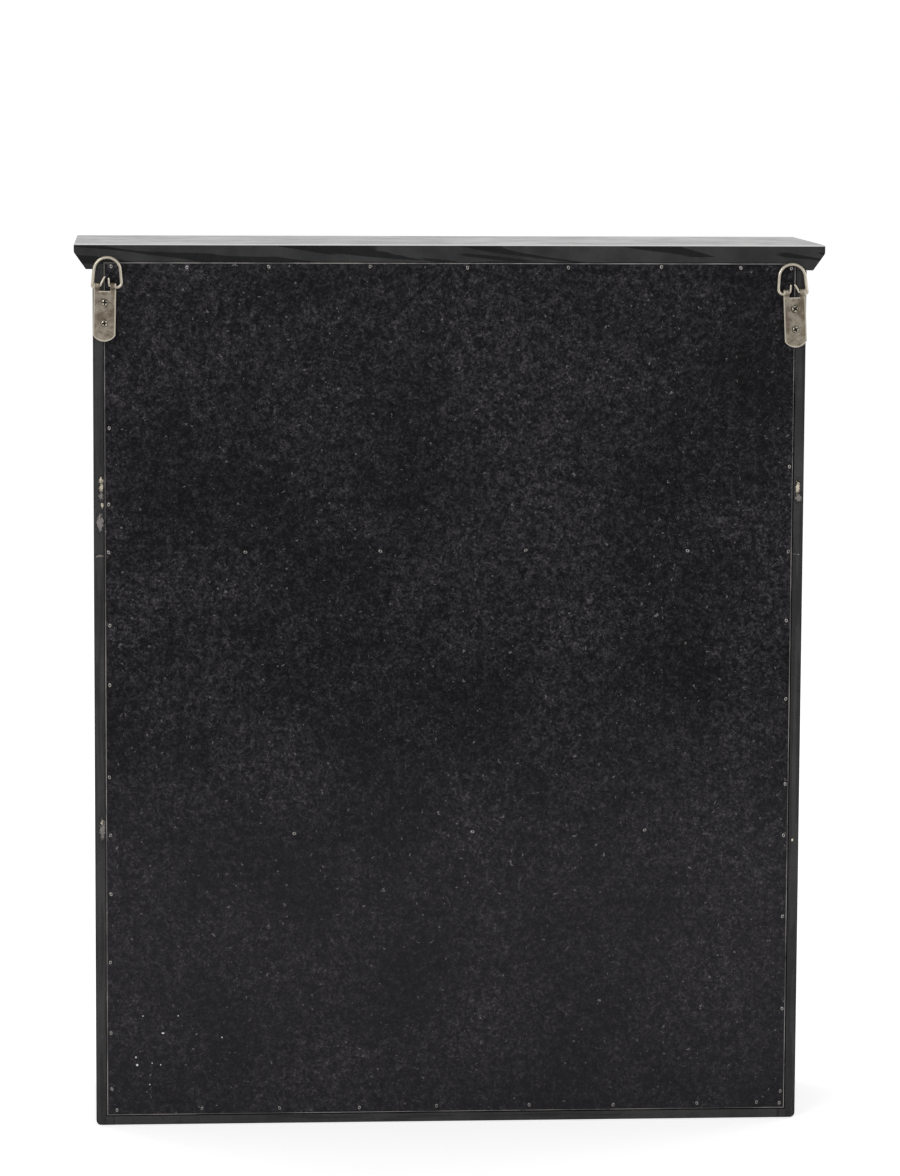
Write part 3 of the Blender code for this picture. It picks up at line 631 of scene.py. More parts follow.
def screw_surface(head, height, shank, long, recess, turn, sides=56):
    """A domed screw with a cross recess, along +Y from its point to the top of its head.

    The profile runs up the shank, out under the head, round its rim and in over a dome
    of height (1 - (r / R)^2)^0.6. The recess lowers the dome where both the distance to
    the nearer arm's middle and the distance along it are small.
    """
    across = np.linspace(1, 0, 30)[1:]
    rim = np.array([[0, -long], [shank, 2 * shank - long], [shank, 0], [head * 0.97, 0.0],
                    [head, 0.06 * height], [head, 0.28 * height]])
    dome = np.stack([head * across, height * (0.28 + 0.72 * (1 - across**2) ** 0.6)], -1)
    profile = np.concatenate([rim, dome])
    points = spun(profile, sides, (0, 0, 0), (0, 1, 0))
    c, s = math.cos(math.radians(turn)), math.sin(math.radians(turn))
    u = np.abs(points[..., 0] * c + points[..., 2] * s)
    v = np.abs(points[..., 2] * c - points[..., 0] * s)
    near, far = np.minimum(u, v), np.maximum(u, v)
    arm = smoothstep(0, 0.30, 1.15 - near / (0.19 * head))
    reach = smoothstep(0, 1, (0.80 - far / head) / 0.22)
    depth = np.where(np.arange(len(profile))[:, None] >= len(rim), recess * arm * reach, 0)
    points[..., 1] -= depth
    rows = len(profile)
    # Rim of the head, which the finish darkens.
    worn = np.repeat((profile[:, 0] > 0.85 * head).astype(float)[:, None], sides, 1)
    quads = grid_quads(rows, sides, close_columns=True)
    return points, quads, depth / recess, worn


def member_surface(key, profile, inset):
    """A frame member: its profile, as (inward, depth), run between two mitres.

    At each end a point stops at half the member's length less its distance inward.
    """
    low, high = DOOR_LOW, DOOR_HIGH
    half = (high[0] - low[0]) / 2 if key in ("bottom", "top") else (high[2] - low[2]) / 2
    inward, deep = profile[:, 0] + inset, profile[:, 1]
    run = np.array([-1.0, 1.0])[:, None] * (half - inward - 0.2 * MM)
    inward, deep = (np.broadcast_to(v, run.shape) for v in (inward, deep))
    middle_x, middle_z = (low[0] + high[0]) / 2, (low[2] + high[2]) / 2
    if key == "hinge":
        points = [low[0] + inward, deep, middle_z + run]
    elif key == "latch":
        points = [high[0] - inward, deep, middle_z + run]
    elif key == "bottom":
        points = [middle_x + run, deep, low[2] + inward]
    else:
        points = [middle_x + run, deep, high[2] - inward]
    columns = len(profile)
    return np.stack(points, -1), grid_quads(2, columns, close_columns=True), end_rings(2, columns)


def frame_profile():
    """Door frame in section: eased arris, flat, quirk, ovolo, lip and glass rebate."""
    front, back = DOOR_LOW[1], DOOR_HIGH[1]
    easing, start, quirk, ovolo = 1.5 * MM, 44.5 * MM, 1.2 * MM, 6.5 * MM
    lip, rebate, wide = 9.0 * MM, 46.0 * MM, 55.0 * MM
    return np.concatenate([
        [[0, back - 0.6 * MM], [0, front + easing]],
        arc((easing, front + easing), easing, 180, 270, 6)[1:],
        [[start - 0.3 * MM, front], [start, front + 0.3 * MM], [start, front + quirk]],
        arc((start, front + quirk + ovolo), ovolo, 270, 360, 14)[1:],
        [[wide, front + quirk + ovolo], [wide, front + lip], [rebate, front + lip]],
        [[rebate, back], [0.6 * MM, back]],
    ])


def bead_profile():
    """A glass bead in section: square at the glass, with its inner rear corner rounded."""
    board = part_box("mirror_backing")[1]
    front, back, wide, curve = board.y + 0.3 * MM, DOOR_HIGH[1], 7.0 * MM, 2.4 * MM
    return np.concatenate([
        [[0, back], [0, front], [wide, front]],
        arc((wide - curve, back - curve), curve, 0, 90, 8),
    ])


def glass_surface():
    """Bevelled mirror glass: rectangles drawn in by the bevel, eased where it meets the flat."""
    low, high = (np.array(corner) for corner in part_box("mirror_glass"))
    bevel, fall = 23.0 * MM, 1.2 * MM
    inset = np.array([0.25 * MM, 0, 0, 0.3 * MM, bevel - 0.25 * MM, bevel + 0.25 * MM])
    y = np.array([high[1], high[1] - 0.25 * MM, low[1] + fall + 0.2 * MM, low[1] + fall,
                  low[1] + 0.013 * MM, low[1]])
    left, right = low[0] + inset, high[0] - inset
    bottom, top = low[2] + inset, high[2] - inset
    x = np.stack([left, right, right, left], -1)
    z = np.stack([bottom, bottom, top, top], -1)
    points = np.stack([x, np.broadcast_to(y[:, None], x.shape), z], -1)
    return points, grid_quads(6, 4, close_columns=True), end_rings(6, 4)


def knob_profile():
    """The knob's outline as (radius, distance out), through its turner's stations."""
    flange = np.array([[0, 0], [7.8, 0], [8.0, 0.25], [8.0, 1.25], [7.75, 1.6]])
    stem = smooth_line([(7.75, 1.6), (6.0, 2.7), (4.75, 5.2), (4.5, 8.0), (5.2, 10.6), (8.0, 13.2),
                        (11.6, 15.8), (13.0, 19.0), (11.9, 22.4), (8.0, 24.6), (3.6, 25.35),
                        (0.0, 25.5)], 7)
    return np.concatenate([flange, stem[1:]]) * MM


def door_corners():
    """Lowest and highest corner of the closed door, from its four frame members."""
    members = ("stile_hinge", "stile_latch", "rail_bottom", "rail_top")
    boxes = np.array([[list(corner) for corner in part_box(f"door_{a}")] for a in members])
    return boxes[:, 0].min(axis=0), boxes[:, 1].max(axis=0)


DOOR_LOW, DOOR_HIGH = door_corners()


# ---------------------------------------------------------------- making finishes


def add(tree, kind, settings=None, **inputs):
    """Add a node, with its own settings, and its inputs by name or as _0, _1 by place."""
    made = tree.nodes.new(kind)
    for key, value in (settings or {}).items():
        setattr(made, key, value)
    for key, value in inputs.items():
        key = int(key[1:]) if key[0] == "_" else key.replace("_", " ")
        feed(tree, value, made.inputs[key])
    return made


def feed(tree, value, socket):
    """Link a socket to another, or set its value."""
    if isinstance(value, bpy.types.NodeSocket):
        tree.links.new(value, socket)
    else:
        socket.default_value = value


def maths(tree, operation, a, b=0.0, clamp=False):
    """One step of arithmetic on values."""
    settings = {"operation": operation, "use_clamp": clamp}
    return add(tree, "ShaderNodeMath", settings, _0=a, _1=b).outputs[0]


def times(tree, a, b, clamp=False):
    return maths(tree, "MULTIPLY", a, b, clamp)


def plus(tree, a, b, clamp=False):
    return maths(tree, "ADD", a, b, clamp)


def minus(tree, a, b):
    return maths(tree, "SUBTRACT", a, b)


def shifted(tree, operation, a, b):
    """One step of arithmetic on positions."""
    return add(tree, "ShaderNodeVectorMath", {"operation": operation}, _0=a, _1=b).outputs[0]


def mixed(tree, factor, a, b):
    """Colour a where the factor is 0, b where it is 1."""
    settings = {"data_type": "RGBA"}
    a, b = ((*v, 1.0) if not isinstance(v, bpy.types.NodeSocket) and len(v) == 3 else v
            for v in (a, b))
    return add(tree, "ShaderNodeMix", settings, _0=factor, _6=a, _7=b).outputs[2]


def ranged(tree, value, low, high, to_low=0.0, to_high=1.0):
    """Value from low to high, eased onto to_low to to_high."""
    settings = {"interpolation_type": "SMOOTHSTEP"}
    return add(
        tree, "ShaderNodeMapRange", settings, Value=value, From_Min=low, From_Max=high,
        To_Min=to_low, To_Max=to_high,
    ).outputs[0]


def noise(tree, vector, scale, detail=3.0, roughness=0.55, distortion=0.0):
    """Noise from 0 to 1, with scale lumps to a metre."""
    return add(
        tree, "ShaderNodeTexNoise", None, Vector=vector, Scale=scale, Detail=detail,
        Roughness=roughness, Distortion=distortion,
    ).outputs[0]


def effect(name, inputs, outputs):
    """An empty shader node group with named sockets, and its two ends."""
    tree = bpy.data.node_groups.new(name, "ShaderNodeTree")
    for label, kind, value in inputs:
        socket = tree.interface.new_socket(label, in_out="INPUT", socket_type=kind)
        if value is not None:
            socket.default_value = value
    for label in outputs:
        tree.interface.new_socket(label, in_out="OUTPUT", socket_type="NodeSocketFloat")
    return tree, tree.nodes.new("NodeGroupInput").outputs, tree.nodes.new("NodeGroupOutput").inputs


VECTOR, VALUE = "NodeSocketVector", "NodeSocketFloat"


def clouds_effect():
    """Slow change over a surface: two sizes of noise, spread by Contrast about a half."""
    tree, taken, given = effect(
        "Clouds", [("Vector", VECTOR, None), ("Size", VALUE, 0.1), ("Contrast", VALUE, 1.0)],
        ["Value"],
    )
    scale = maths(tree, "DIVIDE", 1.0, taken["Size"])
    large = noise(tree, taken["Vector"], scale, 2.0, 0.5)
    small = noise(tree, taken["Vector"], times(tree, scale, 2.7), 3.0, 0.6)
    both = add(tree, "ShaderNodeMix", None, _0=0.38, _2=large, _3=small).outputs[0]
    wide = times(tree, minus(tree, both, 0.5), taken["Contrast"])
    feed(tree, plus(tree, wide, 0.5, True), given["Value"])
    return tree


def fibres_effect():
    """Matted fibres about Size apart, from noise that Warp bends.

    Value is paler where two sizes of noise agree, Strands are thin curled lines along the
    middle level of a third, broken into short lengths, and Flecks its rare peaks.
    """
    tree, taken, given = effect(
        "Fibres", [("Vector", VECTOR, None), ("Size", VALUE, 0.001), ("Warp", VALUE, 0.5)],
        ["Value", "Strands", "Flecks"],
    )
    where, warp = taken["Vector"], taken["Warp"]
    scale = maths(tree, "DIVIDE", 1.0, taken["Size"])
    mat = noise(tree, where, scale, 4.0, 0.62, warp)
    coarse = noise(tree, where, times(tree, scale, 0.31), 3.0, 0.6, warp)
    value = times(tree, ranged(tree, mat, 0.36, 0.70), ranged(tree, coarse, 0.30, 0.72))
    curled = noise(tree, where, times(tree, scale, 0.45), 1.5, 0.5, 0.9)
    apart = maths(tree, "ABSOLUTE", minus(tree, curled, 0.5))
    lengths = ranged(tree, noise(tree, where, times(tree, scale, 0.55), 2.0), 0.46, 0.58)
    strands = times(tree, ranged(tree, apart, 0.055, 0.012), lengths)
    feed(tree, times(tree, value, 1.6, True), given["Value"])
    feed(tree, strands, given["Strands"])
    feed(tree, ranged(tree, curled, 0.70, 0.76), given["Flecks"])
    return tree


def edge_wear_and_highlight_effect():
    """Broken marks along an edge: the Edge mask times ragged noise, opened by Amount. It gives the
    hardboard's worn raw edge and the crown's painted arris highlight.
    """
    tree, taken, given = effect(
        "Edge wear",
        [("Vector", VECTOR, None), ("Edge", VALUE, 0.0), ("Size", VALUE, 0.003),
         ("Amount", VALUE, 0.5)],
        ["Mask"],
    )
    scale = maths(tree, "DIVIDE", 1.0, taken["Size"])
    ragged = noise(tree, taken["Vector"], scale, 5.0, 0.65, 0.6)
    opened = minus(tree, 0.78, times(tree, taken["Amount"], 0.5))
    open_high = plus(tree, opened, 0.12)
    mask = times(tree, ranged(tree, ragged, opened, open_high), taken["Edge"])
    feed(tree, mask, given["Mask"])
    return tree


def dust_effect():
    """Fine settled dust and lint: small cells, few of them lit, more on faces that look up."""
    tree, taken, given = effect(
        "Dust", [("Vector", VECTOR, None), ("Size", VALUE, 0.004), ("Amount", VALUE, 0.3)],
        ["Mask"],
    )
    cells = add(
        tree, "ShaderNodeTexVoronoi", None, Vector=taken["Vector"],
        Scale=maths(tree, "DIVIDE", 1.0, taken["Size"]), Randomness=1.0,
    )
    dot = ranged(tree, cells.outputs["Distance"], 0.16, 0.05)
    chance = add(tree, "ShaderNodeSeparateColor", None, Color=cells.outputs["Color"]).outputs[0]
    lit = maths(tree, "LESS_THAN", chance, times(tree, taken["Amount"], 0.5))
    normal = tree.nodes.new("ShaderNodeNewGeometry").outputs["Normal"]
    up = add(tree, "ShaderNodeSeparateXYZ", None, Vector=normal).outputs[2]
    more = ranged(tree, up, -0.2, 0.9, 0.35, 1.0)
    feed(tree, times(tree, times(tree, dot, lit), more), given["Mask"])
    return tree


def knock_effect():
    """One knock or filled hole: a ragged oval about Centre, as long as Reach each way.

    Broken opens gaps in it, so that only crumbs show at 1. Rim also takes in a margin.
    """
    tree, taken, given = effect(
        "Knock",
        [("Vector", VECTOR, None), ("Centre", VECTOR, None), ("Reach", VECTOR, (0.002,) * 3),
         ("Ragged", VALUE, 0.5), ("Broken", VALUE, 0.0)],
        ["Mask", "Rim"],
    )
    away = shifted(tree, "SUBTRACT", taken["Vector"], taken["Centre"])
    away = shifted(tree, "DIVIDE", away, taken["Reach"])
    distance = add(
        tree, "ShaderNodeVectorMath", {"operation": "LENGTH"}, _0=away
    ).outputs["Value"]
    rough = minus(tree, noise(tree, taken["Vector"], 420.0, 4.0, 0.7), 0.5)
    rough = times(tree, rough, times(tree, taken["Ragged"], 4.5))
    away = plus(tree, distance, rough)
    oval = ranged(tree, away, 1.0, 0.72)
    crumbs = noise(tree, taken["Vector"], 700.0, 2.0, 0.6, 0.8)
    shown = ranged(tree, crumbs, 0.44, 0.56)
    gaps = times(tree, minus(tree, 1.0, shown), taken["Broken"])
    feed(tree, times(tree, oval, minus(tree, 1.0, gaps)), given["Mask"])
    feed(tree, ranged(tree, away, 1.7, 1.15), given["Rim"])
    return tree


def smear_effect():
    """Drawn-out smears, as from a brush or rubbing down: noise stretched to Size, firm-edged.

    Lean turns them about Y, Cover is how much they cover, and Soft how gently they end.
    """
    tree, taken, given = effect(
        "Smears", [("Vector", VECTOR, None), ("Size", VECTOR, (0.1, 0.01, 0.01)),
                   ("Lean", VALUE, 0.0), ("Cover", VALUE, 0.5), ("Soft", VALUE, 0.05)],
        ["Mask"],
    )
    turned = add(
        tree, "ShaderNodeVectorRotate", {"rotation_type": "Y_AXIS"}, Vector=taken["Vector"],
        Angle=taken["Lean"],
    ).outputs[0]
    streak = noise(tree, shifted(tree, "DIVIDE", turned, taken["Size"]), 1.0, 2.5, 0.45, 0.5)
    level = minus(tree, 0.68, times(tree, taken["Cover"], 0.36))
    high = plus(tree, level, taken["Soft"])
    feed(tree, ranged(tree, streak, level, high), given["Mask"])
    return tree


EFFECTS = {
    "Clouds": clouds_effect, "Fibres": fibres_effect, "Edge wear": edge_wear_and_highlight_effect,
    "Dust": dust_effect, "Knock": knock_effect, "Smears": smear_effect,
}


def use(tree, name, **inputs):
    """Place a shared effect in a material with its own values."""
    group = bpy.data.node_groups.get(name) or EFFECTS[name]()
    made = tree.nodes.new("ShaderNodeGroup")
    made.node_tree = group
    for key, value in inputs.items():
        feed(tree, value, made.inputs[key.replace("_", " ")])
    return made.outputs


def start_finish(name, roughness, metallic=0.0, **constants):
    """A new material: its tree, its shader and where the object's own coordinates come from."""
    made = bpy.data.materials.new(name)
    made.use_nodes = True
    tree = made.node_tree
    shader = tree.nodes["Principled BSDF"]
    shader.inputs["Roughness"].default_value = roughness
    shader.inputs["Metallic"].default_value = metallic
    for key, value in constants.items():
        shader.inputs[key.replace("_", " ")].default_value = value
    where = tree.nodes.new("ShaderNodeTexCoord").outputs["Object"]
    return made, tree, shader, where


def relief(tree, shader, height, distance, strength=1.0):
    """Feed a height to the shader's normal."""
    bump = add(
        tree, "ShaderNodeBump", None, Height=height, Distance=distance, Strength=strength
    )
    tree.links.new(bump.outputs[0], shader.inputs["Normal"])


def attribute(tree, name):
    """A mask that the piece's mesh carries."""
    return add(tree, "ShaderNodeAttribute", {"attribute_name": name}).outputs["Fac"]


KNOCK_DEPTH = 3.0 * MM

# White specks on the hardboard: centre (x, z) and half size (x, z), in millimetres
SPECKS = (
    ((235, -633.5), (1.3, 0.8)), ((257.3, -653.5), (0.8, 0.8)), ((256.3, -660), (1.1, 1.0)),
    ((251.5, -619), (0.5, 0.7)), ((222.5, -619), (0.6, 0.6)), ((244, -658.5), (0.6, 0.6)),
    ((237, -660), (0.5, 0.7)), ((186.5, -637.5), (0.6, 0.6)), ((246, -676.5), (0.6, 0.6)),
)

# Knocks in the lacquer: centre (x, z) and half size (x, z) in millimetres, raggedness, gaps
# and what shows
KNOCKS = {
    "side_right": (
        ((283.8, -177), (1.8, 3.2), 0.8, 0.55, "bare_wood"),
        ((283.6, -183), (1.8, 3.8), 0.9, 0.45, "bare_wood"),
        ((284.0, -189.5), (1.9, 3.8), 0.9, 0.55, "filler"),
        ((283.2, -196.5), (0.9, 3.2), 0.9, 0.6, "bare_wood"),
        ((284.6, -210.8), (2.6, 7.0), 0.8, 0.28, "filler"),
        ((285.5, -238), (3.6, 1.2), 1.0, 0.8, "filler"),
        ((284.0, -463), (2.2, 9.0), 0.8, 0.35, "filler"),
        ((284.4, -457), (1.1, 3.0), 0.9, 0.8, "bare_wood"),
    ),
    "side_left": (
        ((-285.2, -183.5), (1.8, 5.0), 0.9, 0.5, "bare_wood"),
        ((-285.9, -191.5), (2.8, 3.2), 0.7, 0.3, "filler"),
        ((-285.5, -238), (3.0, 0.7), 0.8, 0.75, "filler"),
        ((-284.8, -476), (0.9, 1.2), 0.6, 0.0, "bare_wood"),
    ),
}


def knock_at(tree, where, centre, reach, ragged, broken=0.0):
    """A knock at (x, z) that goes as far as reach each way, both in millimetres."""
    return use(
        tree, "Knock", Vector=where, Centre=(centre[0] * MM, 0.0, centre[1] * MM),
        Reach=(reach[0] * MM, KNOCK_DEPTH, reach[1] * MM), Ragged=ragged, Broken=broken,
    )


def lacquer(name, colours, roughness=0.2, gloss=0.3, knocks=(), smear=(0.5, 0.03, 0.05),
            lean=0.0, cover=0.5, thin=0.10, edge=None):
    """Black lacquer: haze, firm-edged smears, orange peel, dust, any knocks given, and a painted
    highlight along any edge mask given.
    """
    made, tree, shader, where = start_finish(name, roughness, Specular_IOR_Level=gloss)
    haze = use(tree, "Clouds", Vector=where, Size=0.045, Contrast=2.2)["Value"]
    grain = use(tree, "Fibres", Vector=where, Size=0.0022, Warp=0.3)["Value"]
    rubbed = use(tree, "Smears", Vector=where, Size=smear, Lean=lean, Cover=cover, Soft=0.03)["Mask"]
    hazy = ranged(tree, haze, 0.1, 0.9, 0.45, 0.95)
    cloudy = times(tree, hazy, ranged(tree, rubbed, 0.0, 1.0, thin, 0.95))
    speckled = plus(tree, cloudy, times(tree, grain, 0.12), True)
    tint = mixed(tree, speckled, colours.lacquer, colours.lacquer_bloom)
    rough = plus(tree, ranged(tree, haze, 0.0, 1.0, -0.03, 0.08), roughness)
    height = noise(tree, where, 260.0, 2.0, 0.5)
    # Painted highlight: near-white colour along the edge mask, broken up by ragged noise, for the
    # light the crown's rear arris catches.
    if edge:
        worn = use(tree, "Edge wear", Vector=where, Edge=attribute(tree, edge), Size=0.05,
                   Amount=1.12)["Mask"]
        tint = mixed(tree, worn, tint, colours.arris_highlight)
    for centre, reach, ragged, broken, shows in knocks:
        knock = knock_at(tree, where, centre, reach, ragged, broken)
        mask = knock["Mask"]
        tint = mixed(tree, times(tree, knock["Rim"], 0.75), tint, colours.lacquer)
        tint = mixed(tree, mask, tint, getattr(colours, shows))
        rough = maths(tree, "MAXIMUM", rough, times(tree, mask, 0.7))
        height = minus(tree, height, times(tree, mask, 2.0))
    dust = use(tree, "Dust", Vector=where, Size=0.005, Amount=0.10)["Mask"]
    tint = mixed(tree, times(tree, dust, 0.5), tint, colours.filler)
    tree.links.new(tint, shader.inputs["Base Color"])
    tree.links.new(rough, shader.inputs["Roughness"])
    relief(tree, shader, height, 0.05 * MM, 0.35)
    return made


def hardboard(name, colours):
    """Black-dyed hardboard: matted fibres in clumps under slow clouds, lint, and a raw edge."""
    made, tree, shader, where = start_finish(name, 0.82, Specular_IOR_Level=0.16)
    coarse = use(tree, "Fibres", Vector=where, Size=0.0030, Warp=1.6)
    fine = use(tree, "Fibres", Vector=where, Size=0.0015, Warp=0.9)
    clumps = use(tree, "Clouds", Vector=where, Size=0.009, Contrast=3.4)["Value"]
    cloud = use(tree, "Clouds", Vector=where, Size=0.15, Contrast=3.0)["Value"]
    # The board is paler towards the bottom, with less contrast there.
    height = add(tree, "ShaderNodeSeparateXYZ", None, Vector=where).outputs[2]
    low = ranged(tree, height, -0.30, -0.56)
    mat = plus(tree, times(tree, coarse["Value"], 0.20), times(tree, fine["Value"], 0.42))
    both = plus(tree, mat, times(tree, fine["Strands"], 0.62))
    both = plus(tree, both, times(tree, coarse["Strands"], 0.26))
    slow = ranged(tree, cloud, 0.1, 0.9, 0.36, 0.95)
    level = times(tree, slow, ranged(tree, clumps, 0.1, 0.9, 0.42, 1.15))
    calm = minus(tree, 1.0, times(tree, low, 0.18))
    amount = times(tree, times(tree, both, level), calm)
    amount = plus(tree, amount, times(tree, low, 0.13))
    tint = mixed(tree, amount, colours.board, colours.board_fibre)
    flecks = times(tree, fine["Flecks"], 0.30)
    tint = mixed(tree, flecks, tint, colours.board_edge)
    lint = use(tree, "Dust", Vector=where, Size=0.007, Amount=0.22)["Mask"]
    tint = mixed(tree, times(tree, lint, 0.7), tint, colours.board_edge)
    worn = use(tree, "Edge wear", Vector=where, Edge=attribute(tree, "edge"), Size=0.03,
               Amount=1.0)["Mask"]
    runs = use(tree, "Clouds", Vector=where, Size=0.06, Contrast=3.5)["Value"]
    shown = times(tree, worn, ranged(tree, runs, 0.2, 0.8, 0.35, 1.0))
    tint = mixed(tree, shown, tint, colours.board_edge)
    for centre, reach in SPECKS:
        speck = knock_at(tree, where, centre, reach, ragged=0.12)["Mask"]
        tint = mixed(tree, speck, tint, colours.speck)
    tree.links.new(tint, shader.inputs["Base Color"])
    relief(tree, shader, both, 0.12 * MM, 0.5)
    return made


def old_nickel(name, colours, tarnish=0.8, bright=()):
    """Nickel plate gone warm: cloudy tarnish, fine pits, and brighter metal on the masked rims,
    partly rubbed clean and partly a painted highlight.
    """
    made, tree, shader, where = start_finish(name, 0.34, 1.0)
    patches = use(tree, "Clouds", Vector=where, Size=0.011, Contrast=2.4)["Value"]
    pits = use(tree, "Fibres", Vector=where, Size=0.0011, Warp=0.6)["Value"]
    aged = plus(tree, ranged(tree, patches, 0.2, 0.8, 0.66, 1.0), times(tree, pits, 0.25))
    aged = times(tree, aged, tarnish, True)
    # Rims lose most of their tarnish: plating rubbed bright, and a painted highlight for the bright
    # lines along the strap's edges.
    for mask in bright:
        rubbed_and_lit_rim = minus(tree, 1.0, times(tree, attribute(tree, mask), 0.85))
        aged = times(tree, aged, rubbed_and_lit_rim, True)
    tint = mixed(tree, aged, colours.nickel, colours.tarnish)
    spots = use(tree, "Dust", Vector=where, Size=0.0016, Amount=0.5)["Mask"]
    tint = mixed(tree, times(tree, spots, 0.55), tint, colours.lacquer)
    tree.links.new(tint, shader.inputs["Base Color"])
    tree.links.new(ranged(tree, aged, 0.0, 1.0, 0.24, 0.46), shader.inputs["Roughness"])
    relief(tree, shader, pits, 0.03 * MM, 0.4)
    return made


def screw_nickel(name, colours):
    """Hanger screws: plated like the straps, darkened nearly to black in the cross and round the
    rim.
    """
    made, tree, shader, where = start_finish(name, 0.36, 1.0)
    patches = use(tree, "Clouds", Vector=where, Size=0.004, Contrast=2.0)["Value"]
    tint = mixed(tree, ranged(tree, patches, 0.2, 0.8, 0.1, 0.8), colours.nickel, colours.tarnish)
    # The cross recess and the rim of the head are darkened nearly to black.
    darkened = maths(tree, "MAXIMUM", attribute(tree, "recess"), attribute(tree, "rim"))
    tint = mixed(tree, times(tree, darkened, 0.93, True), tint, colours.lacquer)
    tree.links.new(tint, shader.inputs["Base Color"])
    tree.links.new(ranged(tree, darkened, 0.0, 1.0, 0.34, 0.75), shader.inputs["Roughness"])
    return made


def plain_metal(name, colours, tone, roughness, brushed=0.0, dulled=0.3, painted_shade=None):
    """Plain steel or nickel: slow dulling, hairline marks, a few specks, and painted shade where a
    mask is given.
    """
    made, tree, shader, where = start_finish(name, roughness, 1.0)
    tone = getattr(colours, tone)
    cloud = use(tree, "Clouds", Vector=where, Size=0.012, Contrast=1.8)["Value"]
    lines = use(tree, "Smears", Vector=where, Size=(0.02, 0.0003, 0.0003))["Mask"]
    dark = tuple(c * (1 - dulled) for c in tone)
    tint = mixed(tree, ranged(tree, cloud, 0.2, 0.8), tone, dark)
    spots = use(tree, "Dust", Vector=where, Size=0.004, Amount=0.25)["Mask"]
    tint = mixed(tree, times(tree, spots, 0.4), tint, colours.filler)
    # Painted shade: where the mask is set, the metal is darkened to the board's black.
    if painted_shade:
        darkened = times(tree, attribute(tree, painted_shade), 0.95, True)
        tint = mixed(tree, darkened, tint, colours.board)
    tree.links.new(tint, shader.inputs["Base Color"])
    rough = plus(tree, ranged(tree, cloud, 0.0, 1.0, -0.05, 0.08), roughness)
    rough = plus(tree, rough, times(tree, lines, brushed))
    tree.links.new(rough, shader.inputs["Roughness"])
    relief(tree, shader, lines, 0.01 * MM, 0.3)
    return made


def mirror(name, colours):
    """Silvered glass: a clean mirror with faint haze and a little lint."""
    made, tree, shader, where = start_finish(name, 0.02, 1.0, Coat_Weight=0.3, Coat_Roughness=0.02)
    haze = use(tree, "Clouds", Vector=where, Size=0.30, Contrast=1.2)["Value"]
    wiped = use(tree, "Smears", Vector=where, Size=(0.2, 0.2, 0.03), Soft=0.2)["Mask"]
    lint = use(tree, "Dust", Vector=where, Size=0.02, Amount=0.12)["Mask"]
    dimmed = tuple(c * 0.985 for c in colours.silver)
    tint = mixed(tree, ranged(tree, haze, 0.3, 0.9), colours.silver, dimmed)
    tint = mixed(tree, times(tree, lint, 0.25), tint, colours.filler)
    tree.links.new(tint, shader.inputs["Base Color"])
    rough = times(tree, wiped, times(tree, haze, 0.035))
    tree.links.new(plus(tree, rough, 0.012), shader.inputs["Roughness"])
    return made


def matt(name, colours, tone, paler, roughness, size, stretch=None, depth=0.05, **constants):
    """Unlacquered board, plastic, rubber, magnet or wood: grain between two tones, and dust."""
    made, tree, shader, where = start_finish(name, roughness, **constants)
    drawn = shifted(tree, "MULTIPLY", where, stretch) if stretch else where
    grain = use(tree, "Fibres", Vector=drawn, Size=size, Warp=0.5)["Value"]
    cloud = use(tree, "Clouds", Vector=where, Size=0.05, Contrast=1.6)["Value"]
    amount = times(tree, grain, ranged(tree, cloud, 0.1, 0.9, 0.5, 1.0))
    tint = mixed(tree, amount, tone, paler)
    dust = use(tree, "Dust", Vector=where, Size=0.006, Amount=0.2)["Mask"]
    tint = mixed(tree, times(tree, dust, 0.4), tint, colours.filler)
    tree.links.new(tint, shader.inputs["Base Color"])
    rough = plus(tree, ranged(tree, cloud, 0.0, 1.0, -0.06, 0.08), roughness)
    tree.links.new(rough, shader.inputs["Roughness"])
    relief(tree, shader, grain, depth * MM, 0.5)
    return made


